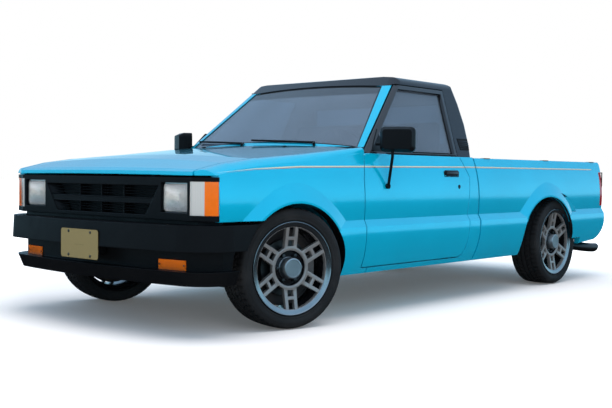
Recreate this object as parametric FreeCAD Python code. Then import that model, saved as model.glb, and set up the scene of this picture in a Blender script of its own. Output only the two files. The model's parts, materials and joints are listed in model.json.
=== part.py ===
import FreeCAD, Part
import math
import os

os.makedirs("parts", exist_ok=True)

# Compact two-seat pickup truck on a lowered ladder frame, all sizes in millimetres.
# Frame: the front faces -Y, the vehicle's left is +X, +Z is up, and the tyres stand on Z = 0.
# Stations along the truck are given behind the front axle and turned into Y by station().

# Overall sizes
WHEELBASE = 2761.0
FRONT_OVERHANG = 725.0
REAR_OVERHANG = 727.0
BODY_WIDTH = 1670.0

# Wheels and tyres
TYRE_RADIUS = 302.0
TYRE_WIDTH = 215.0
TRACK = 1400.0
REAR_TRACK = 1395.0
TYRE_FACETS = 48
RIM_RADIUS = 232.5
RIM_WIDTH = 200.0
RIM_WALL = 7.0
FLANGE_WIDTH = 9.0
BEAD_STEP = 14.0
FLANGE_CLEAR = 3.0
DISH_DEPTH = 30.0
SPOKE_COUNT = 6
SPOKE_WIDTH = 24.0
SPOKE_THICK = 22.0
SPOKE_SPREAD = 52.0
SPOKE_BRIDGE_RADIUS = 148.0
HUB_RADIUS = 92.0
HUB_THICK = 26.0
CAP_RADIUS = 50.0
CAP_HEIGHT = 30.0
DISC_RADIUS = 140.0
DISC_THICK = 18.0
DISC_HAT_RADIUS = 75.0
DISC_HAT_DEPTH = 26.0
CALIPER_GAP = 3.0
CALIPER_WALL = 20.0
DRUM_RADIUS = 130.0
DRUM_DEPTH = 70.0
HUB_FLANGE_RADIUS = 55.0
UPRIGHT_WIDTH = 40.0
UPRIGHT_HALF = 110.0
KINGPIN_SETBACK = 30.0
STEER_AT_REST = 14.2

# Body side, as drops in from half the body width at stated heights
SILL_Z = 238.0
SILL_TUCK = 45.0
LOW_SIDE_Z = 350.0
LOW_SIDE_TUCK = 7.0
LEDGE_LOW_Z = 490.0
LEDGE_LOW_TUCK = 2.0
LEDGE_TOP_Z = 526.0
LEDGE_TOP_TUCK = 23.0
WAIST_Z = 700.0
WAIST_TUCK = 23.0
BELT_Z = 880.0
BELT_TUCK = 57.0
PANEL_THICK = 25.0
PANEL_GAP = 6.0

# Wheel arches
ARCH_Z = 300.0
ARCH_HEIGHT = 323.0
FRONT_ARCH_LENGTH = 375.0
REAR_ARCH_LENGTH = 375.0
FRONT_ARCH_SHIFT = -38.0
REAR_ARCH_SHIFT = -166.0
FLARE_BAND = 88.0
FLARE_LIP = 12.0
WHEELHOUSE_RADIUS = 345.0
WHEELHOUSE_WALL = 15.0
WHEELHOUSE_SIDE = 15.0

# Wipers
WIPER_SPANS = ((420.0, -110.0), (-130.0, -640.0))
WIPER_RADIUS = 5.0
WIPER_LIFT = 13.0
WIPER_HEEL_Z = 948.0
WIPER_TIP_Z = 966.0
WIPER_PIVOT_HEIGHT = 16.0

# Line between hood and fenders: station, height, distance from the middle
HOOD_LINE = (
    (-612.0, 773.0, 700.0),
    (-584.0, 785.0, 704.0),
    (-444.0, 816.0, 713.0),
    (-265.0, 839.0, 719.0),
    (81.0, 868.0, 731.0),
    (545.0, 914.0, 745.0),
)
NOSE_LOW_Z = 756.0
HOOD_CROWN = 22.0
NOSE_CROWN = 4.0
NOSE_LENGTH = 168.0
HOOD_THICK = 18.0
HOOD_REAR = 490.0
HOOD_CLEAR_Z = 866.0
SHOULDER_DROP = 34.0
FENDER_FRONT = -550.0
FENDER_FRONT_Z = 546.0

# Cab
CAB_FRONT = 380.0
CAB_REAR_LOW = 1623.0
CAB_REAR_MID = 1668.0
CAB_REAR_MID_Z = 600.0
CAB_REAR_TOP = 1648.0
FLOOR_Z = 370.0
FLOOR_THICK = 25.0
SILL_INNER_X = 620.0
DOOR_INNER_X = 720.0
WALL_THICK = 45.0
FIREWALL_THICK = 30.0
TUNNEL_WIDTH = 300.0
TUNNEL_TOP_Z = 530.0
TUNNEL_WALL = 15.0
COWL_SHELF = 25.0
DASH_DEPTH = 300.0
GLASS_BASE_X = 765.0
ROOF_SIDE_X = 600.0
ROOF_SIDE_Z = 1306.0
ROOF_TOP_Z = 1374.0
ROOF_EDGE = 60.0
ROOF_SHOULDER = 44.0
ROOF_REAR = 1706.0
CEILING_Z = 1312.0
COWL_TOP_Z = 917.0
SCREEN_BASE_MID = 500.0
SCREEN_BASE_CORNER = 575.0
SCREEN_BASE_CORNER_X = 700.0
SCREEN_TOP_MID = 1018.0
SCREEN_TOP_CORNER = 1058.0
SCREEN_TOP_CORNER_X = 545.0
GREENHOUSE_CORNER = 30.0
GLASS_THICK = 6.0
GLASS_INSET = 8.0
SEAL_GAP = 0.3

# Rear wall above the belt: height, station
GREENHOUSE_REAR = (
    (868.0, 1660.0),
    (960.0, 1692.0),
    (1090.0, 1716.0),
    (1220.0, 1716.0),
    (1400.0, 1690.0),
)

# Windshield corners on the glass: distance from the middle, station, height
SCREEN_LOW = (676.0, 603.0, 931.0)
SCREEN_HIGH = (522.0, 1040.0, 1294.0)
REAR_WINDOW_HALF_WIDTH = 560.0
REAR_WINDOW_LOW_Z = 960.0
REAR_WINDOW_HIGH_Z = 1225.0

# Door outline on the skin: station and height, anticlockwise from the front lower corner
DOOR_OUTLINE = (
    (493.0, 273.0),
    (511.0, 521.0),
    (515.0, 738.0),
    (546.0, 872.0),
    (616.0, 905.0),
    (1066.0, 1296.0),
    (1560.0, 1296.0),
    (1497.0, 872.0),
    (1571.0, 758.0),
    (1547.0, 523.0),
    (1512.0, 330.0),
    (1492.0, 290.0),
    (1455.0, 273.0),
)
DOOR_SLANT = 0.30
DOOR_FRONT_SLANT = -0.15
DOOR_SPLIT = 1250.0
DOOR_FLANGE = 2.0
DOOR_FRAME_WIDTH = 24.0
WINDOW_SILL_RISE = 14.0

# Bed
BED_GAP = 14.0
BED_FLOOR_Z = 465.0
BED_FLOOR_THICK = 15.0
BED_WALL_X = 745.0
BED_TOP_Z = 876.0
BED_FRONT_WALL = 30.0
BED_SKIN_DEPTH = 70.0
TAILGATE_THICK = 42.0
TAILGATE_LOW_Z = 470.0
TAILGATE_INSET = 4.0
TAILGATE_PIN_RADIUS = 6.0
TAILGATE_PIN_RISE = 10.0
TAILGATE_SWING_GAP = 7.0
REAR_PAN_LOW_Z = 300.0
BED_REAR_RADIUS = 170.0
BED_TAIL_Z = 290.0
TAIL_LAMP_LOW_Z = 545.0
TAIL_LAMP_HIGH_Z = 800.0
TAIL_LAMP_DEPTH = 40.0

# Ladder frame and running gear
RAIL_X = 365.0
RAIL_WIDTH = 60.0
RAIL_HEIGHT = 88.0
KICK_UP_START = 1780.0
KICK_UP_END = 2180.0
CROSSMEMBER_LENGTH = 70.0
CROSSMEMBER_HEIGHT = 28.0
GEARBOX_MOUNT = 900.0
GEARBOX_TAIL = 60.0
RADIATOR_STATION = -540.0
DIFF_REACH = 190.0
TILTED_SEAT = 1.2
ARM_THICK = 22.0
AXLE_TUBE_RADIUS = 38.0
DIFF_RADIUS = 105.0
SPRING_TYRE_GAP = 30.0
SPRING_WIDTH = 60.0
SPRING_LENGTH = 1150.0
SEAT_GAP = 0.3

# Front end
GRILLE_FACE = -606.0
GRILLE_HALF_WIDTH = 812.0
GRILLE_FLAT_X = 690.0
GRILLE_TURN_X = 755.0
GRILLE_TURN_DEPTH = 30.0
GRILLE_END_DEPTH = 50.0
GRILLE_LOW_Z = 548.0
GRILLE_HIGH_Z = 748.0
GRILLE_OPENING_TOP_X = 458.0
GRILLE_OPENING_LOW_X = 362.0
GRILLE_OPENING_LOW_Z = 567.0
GRILLE_OPENING_HIGH_Z = 706.0
GRILLE_CELL_WIDTH = 180.0
GRILLE_DIVIDERS = (-1, 0, 1)
GRILLE_BAR_HEIGHT = 31.0
GRILLE_BAR_Z = 634.0
GRILLE_BACK = 6.0
HEADLAMP_MID_X = 566.0
LAMP_SETBACK = 6.0
HEADLAMP_WIDTH = 184.0
HEADLAMP_LOW_Z = 583.0
HEADLAMP_HIGH_Z = 722.0
CORNER_LAMP_X = 674.0
CORNER_LAMP_LOW_Z = 574.0
CORNER_LAMP_HIGH_Z = 728.0
BUMPER_TOP_Z = 530.0
BUMPER_STEP_Z = 410.0
BUMPER_LIP_Z = 318.0
BUMPER_LOW_Z = 250.0
BUMPER_WALL = 55.0
BUMPER_LIP_LOW_INSET = 56.0
BUMPER_LIP_TOP_INSET = 28.0
BUMPER_RECESS = 80.0
BUMPER_CORNER_X = 660.0
BUMPER_CORNER = -675.0
BUMPER_BLEND_X = 775.0
BUMPER_BLEND = -605.0
BUMPER_SIDE = -480.0
BUMPER_END = -300.0
FOG_MID_X = 561.0
FOG_WIDTH = 164.0
FOG_LOW_Z = 319.0
FOG_HIGH_Z = 366.0
FOG_PROUD = 4.0
FOG_DEPTH = 36.0

# Cab fittings
SEAT_FRONT = 960.0
SEAT_TOP_Z = 660.0
SEAT_BACK_TOP_Z = 1120.0
SEAT_HALF_WIDTH = 600.0
STEERING_X = 365.0
STEERING_STATION = 900.0
STEERING_Z = 880.0
STEERING_TILT = 28.0
STEERING_RADIUS = 190.0
STEERING_RIM_RADIUS = 13.0

# Door mirrors
MIRROR_STATION = 630.0
MIRROR_WIDTH = 190.0
MIRROR_HEIGHT = 138.0
MIRROR_DEPTH = 85.0
MIRROR_INNER_X = 815.0
MIRROR_TURN = 30.0
MIRROR_KNEE_DROP = 24.0
MIRROR_FOOT_Z = 705.0
MIRROR_PAD_RADIUS = 15.0
MIRROR_Z = 960.0
MIRROR_ARM_RADIUS = 8.0
MIRROR_TAPER = 16.0
MIRROR_CORNER = 26.0

# Exhaust
EXHAUST_RADIUS = 24.0
TIP_RADIUS = 36.0
TIP_WALL = 3.0
TIP_LENGTH = 200.0
TIP_BORE = 120.0
TIP_X = 578.0
TIP_Z = 256.0
TIP_INSET = 70.0

# Values worked out from the sizes above
LENGTH = FRONT_OVERHANG + WHEELBASE + REAR_OVERHANG
FRONT_AXLE_Y = FRONT_OVERHANG - LENGTH / 2.0
REAR_AXLE_Y = FRONT_AXLE_Y + WHEELBASE
REAR_Y = LENGTH / 2.0
HALF_WIDTH = BODY_WIDTH / 2.0
WHEEL_X = TRACK / 2.0
REAR_WHEEL_X = REAR_TRACK / 2.0
KINGPIN_X = TRACK / 2.0 - KINGPIN_SETBACK
SPRING_X = REAR_WHEEL_X - TYRE_WIDTH / 2.0 - SPRING_TYRE_GAP - SPRING_WIDTH / 2.0
GRILLE_DEPTH = FENDER_FRONT - GRILLE_FACE - 0.3
AXLE_Z = TYRE_RADIUS
FLOOR_LOW_Z = FLOOR_Z - FLOOR_THICK
FRAME_TOP_Z = FLOOR_LOW_Z - SEAT_GAP
FRAME_LOW_Z = FRAME_TOP_Z - RAIL_HEIGHT
BED_FRAME_TOP_Z = BED_FLOOR_Z - BED_FLOOR_THICK - SEAT_GAP


def vec(x, y, z):
    return FreeCAD.Vector(x, y, z)


def station(s):
    """Y of a place given as a distance behind the front axle."""
    return FRONT_AXLE_Y + s


def block(x0, x1, y0, y1, z0, z1):
    return Part.makeBox(x1 - x0, y1 - y0, z1 - z0, vec(x0, y0, z0))


def line(a, b):
    return Part.LineSegment(a, b).toShape()


def arc(a, b, c):
    return Part.Arc(a, b, c).toShape()


def face_of(edges):
    return Part.Face(Part.Wire(edges))


def polygon(points):
    return Part.makePolygon(list(points) + [points[0]])


def prism(points, along):
    return Part.Face(polygon(points)).extrude(along)


def fuse(shapes):
    joined = shapes[0]
    if len(shapes) > 1:
        joined = shapes[0].multiFuse(shapes[1:])
    return joined.removeSplitter()


def cut(shape, tools):
    return shape.cut(tools).removeSplitter()


def mirrored(shape):
    return shape.mirror(vec(0, 0, 0), vec(1, 0, 0))


def both_sides(shape):
    return Part.makeCompound([shape, mirrored(shape)])


def rod(a, b, radius):
    return Part.makeCylinder(radius, (b - a).Length, a, b - a)


def bar(a, b, width):
    """Square bar between two points, half its width longer at each end."""
    half = width / 2.0
    along = b - a
    shape = block(-half, half, -half, half, -half, along.Length + half)
    shape.Placement = FreeCAD.Placement(a, FreeCAD.Rotation(vec(0, 0, 1), along))
    return shape


def pipe(points, radius):
    """Straight runs with a ball at each turn."""
    runs = [rod(a, b, radius) for a, b in zip(points, points[1:])]
    balls = [Part.makeSphere(radius, p) for p in points[1:-1]]
    return fuse(runs + balls)


def write(name, shape):
    solids = shape.Solids
    solid = solids[0] if len(solids) == 1 else Part.makeCompound(solids)
    solid.exportStep("parts/" + name + ".step")


def rounded_frame(x0, x1, y, z0, z1, r):
    """Rounded rectangle in a plane across the truck."""
    q = r * (1.0 - math.sqrt(0.5))
    return Part.Wire([
        line(vec(x0 + r, y, z0), vec(x1 - r, y, z0)),
        arc(vec(x1 - r, y, z0), vec(x1 - q, y, z0 + q), vec(x1, y, z0 + r)),
        line(vec(x1, y, z0 + r), vec(x1, y, z1 - r)),
        arc(vec(x1, y, z1 - r), vec(x1 - q, y, z1 - q), vec(x1 - r, y, z1)),
        line(vec(x1 - r, y, z1), vec(x0 + r, y, z1)),
        arc(vec(x0 + r, y, z1), vec(x0 + q, y, z1 - q), vec(x0, y, z1 - r)),
        line(vec(x0, y, z1 - r), vec(x0, y, z0 + r)),
        arc(vec(x0, y, z0 + r), vec(x0 + q, y, z0 + q), vec(x0 + r, y, z0)),
    ])


def circle_centre(a, b, c):
    """Centre (x, z) and radius of the circle through three (x, z) points."""
    (ax, az), (bx, bz), (cx, cz) = a, b, c
    d = 2.0 * (ax * (bz - cz) + bx * (cz - az) + cx * (az - bz))
    aa = ax * ax + az * az
    bb = bx * bx + bz * bz
    cc = cx * cx + cz * cz
    ux = (aa * (bz - cz) + bb * (cz - az) + cc * (az - bz)) / d
    uz = (aa * (cx - bx) + bb * (ax - cx) + cc * (bx - ax)) / d
    return ux, uz, math.hypot(ax - ux, az - uz)


def tumblehome_x(z):
    """Distance of the skin from the middle between the ledge and the belt."""
    cx, cz, radius = circle_centre(
        (HALF_WIDTH - LEDGE_TOP_TUCK, LEDGE_TOP_Z),
        (HALF_WIDTH - WAIST_TUCK, WAIST_Z),
        (HALF_WIDTH - BELT_TUCK, BELT_Z))
    return cx + math.sqrt(radius * radius - (z - cz) ** 2)


def greenhouse_x(z):
    """Distance of the window plane from the middle above the belt."""
    share = (z - BELT_Z) / (ROOF_SIDE_Z - BELT_Z)
    return GLASS_BASE_X + share * (ROOF_SIDE_X - GLASS_BASE_X)


def skin_x(z):
    if z <= LEDGE_TOP_Z:
        return HALF_WIDTH
    if z <= BELT_Z:
        return tumblehome_x(z)
    return greenhouse_x(z)


def side_points(y, top_z, tuck=0.0):
    """Outer points of the body side at a section, from the sill up to top_z."""
    x = HALF_WIDTH - tuck
    mid_z = (LEDGE_TOP_Z + top_z) / 2.0
    return (
        vec(x - SILL_TUCK, y, SILL_Z),
        vec(x - LOW_SIDE_TUCK, y, LOW_SIDE_Z),
        vec(x - LEDGE_LOW_TUCK, y, LEDGE_LOW_Z),
        vec(x - LEDGE_TOP_TUCK, y, LEDGE_TOP_Z),
        vec(tumblehome_x(mid_z) - tuck, y, mid_z),
        vec(tumblehome_x(top_z) - tuck, y, top_z),
    )


def side_edges(points):
    sill, low_side, ledge_low, ledge_top, waist, top = points
    return [
        arc(sill, low_side, ledge_low),
        line(ledge_low, ledge_top),
        arc(ledge_top, waist, top),
    ]


def side_prism(edges, x0, x1):
    """Solid between two X planes from a closed outline drawn at X = x0."""
    return face_of(edges).extrude(vec(x1 - x0, 0, 0))


def ellipse_arch(centre_y, x, length, height, low_z):
    """Closed outline: half an ellipse over straight legs down to low_z."""
    centre = vec(x, centre_y, ARCH_Z)
    left = vec(x, centre_y - length, ARCH_Z)
    right = vec(x, centre_y + length, ARCH_Z)
    if length >= height:
        curve = Part.Ellipse(right, vec(x, centre_y, ARCH_Z + height), centre)
    else:
        curve = Part.Ellipse(vec(x, centre_y, ARCH_Z + height), left, centre)
    start = curve.parameter(right)
    end = curve.parameter(left)
    if end < start:
        end += 2.0 * math.pi
    top = Part.Edge(curve, start, end)
    a = top.valueAt(top.FirstParameter)
    b = top.valueAt(top.LastParameter)
    edges = [top, line(b, vec(x, b.y, low_z)), line(vec(x, b.y, low_z), vec(x, a.y, low_z)),
             line(vec(x, a.y, low_z), a)]
    return Part.Wire(edges)


def arch_cutter(centre_y, length):
    """The open space of a wheel arch on the left side."""
    outline = ellipse_arch(centre_y, WHEEL_X - TYRE_WIDTH, length, ARCH_HEIGHT, 0.0)
    return Part.Face(outline).extrude(vec(HALF_WIDTH - WHEEL_X + TYRE_WIDTH + FLARE_BAND, 0, 0))


def arch_flare(centre_y, length):
    """Raised bevel round a wheel arch on the left side."""
    rise = LEDGE_TOP_TUCK + FLARE_LIP
    grow = FLARE_BAND * rise / LEDGE_TOP_TUCK
    lip = ellipse_arch(centre_y, HALF_WIDTH, length + FLARE_LIP, ARCH_HEIGHT + FLARE_LIP, 0.0)
    foot = ellipse_arch(centre_y, HALF_WIDTH - rise, length + grow, ARCH_HEIGHT + grow, 0.0)
    cone = Part.makeLoft([foot, lip], True, True)
    above = block(0, BODY_WIDTH, -LENGTH, LENGTH, LEDGE_LOW_Z - FLARE_LIP, ROOF_TOP_Z)
    return cone.common(above)


FRONT_ARCH_Y = station(FRONT_ARCH_SHIFT)
REAR_ARCH_Y = REAR_AXLE_Y + REAR_ARCH_SHIFT


# Road wheels

def turned(profile, count):
    """Solid of flat facets from a profile of (x, radius) pairs turned about the X axis."""
    rings = []
    for k in range(count):
        angle = 2.0 * math.pi * k / count
        rings.append([vec(x, r * math.sin(angle), r * math.cos(angle)) for x, r in profile])
    faces = []
    for k in range(count):
        near = rings[k]
        far = rings[(k + 1) % count]
        for i in range(len(profile)):
            j = (i + 1) % len(profile)
            faces.append(Part.Face(polygon([near[i], near[j], far[j], far[i]])))
    solid = Part.Solid(Part.Shell(faces))
    if solid.Volume < 0.0:
        solid.reverse()
    return solid


def tyre():
    """Low tyre about the X axis, its outer side towards +X."""
    half = TYRE_WIDTH / 2.0
    bead = (RIM_RADIUS - BEAD_STEP + SEAT_GAP) / math.cos(math.pi / TYRE_FACETS)
    seat = RIM_WIDTH / 2.0 - FLANGE_WIDTH - SEAT_GAP
    shoulder = TYRE_RADIUS - 12.0
    over_flange = RIM_RADIUS + FLANGE_CLEAR
    profile = [
        (-seat, bead),
        (-seat, over_flange),
        (-half, (bead + TYRE_RADIUS) / 2.0),
        (-half + 14.0, shoulder),
        (-half + 34.0, TYRE_RADIUS),
        (half - 34.0, TYRE_RADIUS),
        (half - 14.0, shoulder),
        (half, (bead + TYRE_RADIUS) / 2.0),
        (seat, over_flange),
        (seat, bead),
    ]
    return turned(profile, TYRE_FACETS)


def rim_barrel():
    half = RIM_WIDTH / 2.0
    bead = RIM_RADIUS - BEAD_STEP
    profile = [
        vec(-half, 0, bead - RIM_WALL),
        vec(-half, 0, RIM_RADIUS),
        vec(-half + FLANGE_WIDTH, 0, RIM_RADIUS),
        vec(-half + FLANGE_WIDTH, 0, bead),
        vec(half - FLANGE_WIDTH, 0, bead),
        vec(half - FLANGE_WIDTH, 0, RIM_RADIUS),
        vec(half, 0, RIM_RADIUS),
        vec(half - DISH_DEPTH, 0, bead - RIM_WALL - FLANGE_WIDTH),
    ]
    return Part.Face(polygon(profile)).revolve(vec(0, 0, 0), vec(1, 0, 0), 360)


def spoke(angle):
    """Twin bar with a bridge across, pointing to +Z before it is turned."""
    outer = RIM_RADIUS - BEAD_STEP - RIM_WALL / 2.0
    face_x = RIM_WIDTH / 2.0 - DISH_DEPTH
    half = SPOKE_SPREAD / 2.0
    bars = [block(face_x - SPOKE_THICK, face_x, side * half - SPOKE_WIDTH / 2.0,
                  side * half + SPOKE_WIDTH / 2.0, HUB_RADIUS - SPOKE_WIDTH, outer - RIM_WALL)
            for side in (-1, 1)]
    bridge = block(face_x - SPOKE_THICK, face_x, -half, half,
                   SPOKE_BRIDGE_RADIUS - SPOKE_WIDTH / 2.0, SPOKE_BRIDGE_RADIUS + SPOKE_WIDTH / 2.0)
    whole = fuse(bars + [bridge])
    whole.rotate(vec(0, 0, 0), vec(1, 0, 0), angle)
    return whole


def rim(brake):
    """Alloy wheel about the X axis with its brake disc or drum behind the hub."""
    face_x = RIM_WIDTH / 2.0 - DISH_DEPTH
    back_x = face_x - HUB_THICK
    along = vec(1, 0, 0)
    spokes = [spoke(k * 360.0 / SPOKE_COUNT) for k in range(SPOKE_COUNT)]
    hub = Part.makeCylinder(HUB_RADIUS, HUB_THICK, vec(back_x, 0, 0), along)
    cap = Part.makeCone(CAP_RADIUS, CAP_RADIUS - 6.0, CAP_HEIGHT, vec(face_x, 0, 0), along)
    if brake == "disc":
        depth = DISC_HAT_DEPTH + DISC_THICK
        plate = Part.makeCylinder(DISC_RADIUS, DISC_THICK, vec(back_x - depth, 0, 0), along)
        rotor = plate.fuse(Part.makeCylinder(DISC_HAT_RADIUS, depth, vec(back_x - depth, 0, 0), along))
    else:
        rotor = Part.makeCylinder(DRUM_RADIUS, DRUM_DEPTH, vec(back_x - DRUM_DEPTH, 0, 0), along)
    return fuse([rim_barrel(), hub, cap, rotor] + spokes)


def placed_wheel(shape, side, front):
    """Put a left-hand wheel shape at one corner; front wheels stand steered as parked."""
    placed = shape.copy()
    if side < 0:
        placed = placed.mirror(vec(0, 0, 0), vec(1, 0, 0))
    y = FRONT_AXLE_Y if front else REAR_AXLE_Y
    placed.translate(vec(side * (WHEEL_X if front else REAR_WHEEL_X), y, AXLE_Z))
    if front:
        placed.rotate(vec(side * KINGPIN_X, y, AXLE_Z), vec(0, 0, 1), -STEER_AT_REST)
    return placed


def knuckle(side):
    """Upright with its hub flange, ball-joint ears and brake caliper."""
    hub_back = WHEEL_X + RIM_WIDTH / 2.0 - DISH_DEPTH - HUB_THICK
    disc_x = hub_back - DISC_HAT_DEPTH - DISC_THICK
    y = FRONT_AXLE_Y
    half = UPRIGHT_WIDTH / 2.0
    upright = block(KINGPIN_X - half, KINGPIN_X + half, y - 28, y + 28,
                    AXLE_Z - UPRIGHT_HALF, AXLE_Z + UPRIGHT_HALF)
    spindle = Part.makeCylinder(HUB_FLANGE_RADIUS, disc_x - SEAT_GAP - KINGPIN_X,
                                vec(KINGPIN_X, y, AXLE_Z), vec(1, 0, 0))
    outer = disc_x + DISC_THICK + CALIPER_GAP + CALIPER_WALL
    inner = disc_x - CALIPER_GAP - CALIPER_WALL
    caliper = block(inner, outer, y + DISC_RADIUS - 45, y + DISC_RADIUS + 22, AXLE_Z - 55, AXLE_Z + 55)
    slot = block(disc_x - CALIPER_GAP, disc_x + DISC_THICK + CALIPER_GAP,
                 y, y + DISC_RADIUS + 6, AXLE_Z - 70, AXLE_Z + 70)
    bracket = block(inner, inner + 14, y, y + DISC_RADIUS - 20, AXLE_Z - 22, AXLE_Z + 22)
    shape = fuse([spindle, upright, caliper.cut(slot), bracket])
    if side < 0:
        shape = mirrored(shape)
    shape.rotate(vec(side * KINGPIN_X, y, AXLE_Z), vec(0, 0, 1), -STEER_AT_REST)
    return shape


# Ladder frame and running gear

def rail():
    """Left frame rail with its kick-up over the rear axle."""
    front = station(bumper_face_at(RAIL_X + RAIL_WIDTH, BUMPER_WALL + BUMPER_RECESS)) + SEAT_GAP
    rear = REAR_Y - TAILGATE_THICK - 60.0
    start = station(KICK_UP_START)
    end = station(KICK_UP_END)
    x = RAIL_X
    top = FRAME_TOP_Z
    up = BED_FRAME_TOP_Z
    points = [
        vec(x, front, top), vec(x, start, top), vec(x, end, up), vec(x, rear, up),
        vec(x, rear, up - RAIL_HEIGHT), vec(x, end, up - RAIL_HEIGHT),
        vec(x, start, FRAME_LOW_Z), vec(x, front, FRAME_LOW_Z),
    ]
    return prism(points, vec(RAIL_WIDTH, 0, 0))


def frame_rails():
    half = RAIL_X + RAIL_WIDTH / 2.0
    drop = 20.0
    crosses = []
    for s, height in ((-560.0, RAIL_HEIGHT), (100.0, CROSSMEMBER_HEIGHT), (GEARBOX_MOUNT, CROSSMEMBER_HEIGHT),
                      (1690.0, CROSSMEMBER_HEIGHT)):
        y = station(s)
        crosses.append(block(-half, half, y, y + CROSSMEMBER_LENGTH, FRAME_LOW_Z, FRAME_LOW_Z + height))
    up = BED_FRAME_TOP_Z
    for y in (station(KICK_UP_END) + drop, REAR_Y - TAILGATE_THICK - 160.0):
        crosses.append(block(-half, half, y, y + CROSSMEMBER_LENGTH, up - RAIL_HEIGHT + drop, up - drop))
    return fuse([rail(), mirrored(rail())] + crosses)


def engine_block():
    """Four-cylinder engine as one plain mass with its gearbox behind."""
    low = FRAME_LOW_Z + CROSSMEMBER_HEIGHT + SEAT_GAP
    y0 = station(-250.0)
    y1 = station(CAB_FRONT) - 20.0
    engine = block(-150, 150, y0, y1, low, 690.0)
    head = block(-110, 110, y0 + 30, y1 - 30, 680.0, 750.0)
    gearbox = Part.makeCone(95, 70, station(GEARBOX_MOUNT) - y1 + 20, vec(0, y1 - 10, low + 95), vec(0, 1, 0))
    tail = block(-50, 50, station(GEARBOX_MOUNT), station(GEARBOX_MOUNT) + GEARBOX_TAIL, low, low + 120)
    return fuse([engine, head, gearbox, tail])


def radiator():
    y = station(RADIATOR_STATION)
    return block(-330, 330, y, y + 50, FRAME_TOP_Z + SEAT_GAP, 735.0)


def wishbone(z, spread, inner):
    """Flat A-arm on the left side from the frame out to its ball joint."""
    t = ARM_THICK / 2.0
    y = FRONT_AXLE_Y
    arm = prism([vec(inner, y - spread, z - t), vec(inner, y + spread, z - t),
                 vec(KINGPIN_X + 20, y + 24, z - t), vec(KINGPIN_X + 20, y - 24, z - t)], vec(0, 0, 2.0 * t))
    hole = prism([vec(inner + 20, y - spread + 40, z - t - 1), vec(inner + 20, y + spread - 40, z - t - 1),
                  vec(KINGPIN_X - 80, y, z - t - 1)], vec(0, 0, 2.0 * t + 2))
    return arm.cut(hole)


def front_suspension():
    """Cross beam with the lower arms, and an upper arm on its tower at each side."""
    y = FRONT_AXLE_Y
    rail_out = RAIL_X + RAIL_WIDTH + SEAT_GAP
    low_z = AXLE_Z - UPRIGHT_HALF - SEAT_GAP - ARM_THICK / 2.0
    high_z = AXLE_Z + UPRIGHT_HALF + SEAT_GAP + ARM_THICK / 2.0
    beam = block(-rail_out, rail_out, y - 55, y + 55, low_z - ARM_THICK / 2.0, FRAME_LOW_Z - SEAT_GAP)
    lower = wishbone(low_z, 105.0, rail_out - 5.0)
    whole_low = fuse([beam, lower, mirrored(lower)])
    tower = block(rail_out, rail_out + 30, y - 75, y + 75, FRAME_TOP_Z - 40.0, high_z + ARM_THICK / 2.0)
    upper = fuse([tower, wishbone(high_z, 75.0, rail_out + 5.0)])
    return Part.makeCompound([whole_low, upper, mirrored(upper)])


def rear_axle():
    """Live axle: tube, differential and brake backing plates."""
    y = REAR_AXLE_Y
    back_x = REAR_WHEEL_X + RIM_WIDTH / 2.0 - DISH_DEPTH - HUB_THICK - DRUM_DEPTH - SEAT_GAP
    tube = Part.makeCylinder(AXLE_TUBE_RADIUS, 2.0 * back_x, vec(-back_x, y, AXLE_Z), vec(1, 0, 0))
    ball = Part.makeCylinder(DIFF_RADIUS, 120, vec(0, y - 60, AXLE_Z), vec(0, 1, 0))
    cover = Part.makeCone(DIFF_RADIUS, DIFF_RADIUS - 45, 45, vec(0, y + 60, AXLE_Z), vec(0, 1, 0))
    nose = Part.makeCone(50, 80, DIFF_REACH - 60, vec(0, y - DIFF_REACH, AXLE_Z), vec(0, 1, 0))
    plates = [Part.makeCylinder(DRUM_RADIUS - 6, 12, vec(side * (back_x - 6) - 6, y, AXLE_Z), vec(1, 0, 0))
              for side in (-1, 1)]
    return fuse([tube, ball, cover, nose] + plates)


def leaf_springs():
    """One leaf pack on each side, clamped under the axle tube."""
    y = REAR_AXLE_Y
    half = SPRING_LENGTH / 2.0
    low = AXLE_Z - AXLE_TUBE_RADIUS - SEAT_GAP
    sag = 70.0
    x = SPRING_X - SPRING_WIDTH / 2.0
    top = [arc(vec(x, y - half, low + sag), vec(x, y, low), vec(x, y + half, low + sag))]
    bottom = [arc(vec(x, y + half, low + sag - 10), vec(x, y, low - 28), vec(x, y - half, low + sag - 10))]
    ends = [line(vec(x, y + half, low + sag), vec(x, y + half, low + sag - 10)),
            line(vec(x, y - half, low + sag - 10), vec(x, y - half, low + sag))]
    leaf = face_of([top[0], ends[0], bottom[0], ends[1]]).extrude(vec(SPRING_WIDTH, 0, 0))
    hangers = []
    for end in (-1, 1):
        y_end = y + end * (half - 20)
        hangers.append(block(RAIL_X + RAIL_WIDTH + SEAT_GAP, SPRING_X + SPRING_WIDTH / 2.0, y_end - 20, y_end + 20,
                             low + sag - 25, BED_FRAME_TOP_Z - 10))
    return both_sides(fuse([leaf] + hangers))


def propshaft():
    y0 = station(GEARBOX_MOUNT) + GEARBOX_TAIL + TILTED_SEAT
    y1 = REAR_AXLE_Y - DIFF_REACH - TILTED_SEAT
    z0 = FRAME_LOW_Z + CROSSMEMBER_HEIGHT + 60.0
    return rod(vec(0, y0, z0), vec(0, y1, AXLE_Z), 32)


def fuel_tank():
    y0 = station(KICK_UP_END) - 300.0
    x1 = -60.0
    tank = block(-RAIL_X + SEAT_GAP, x1, y0, y0 + 300, 235.0, 330.0)
    return tank


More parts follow.
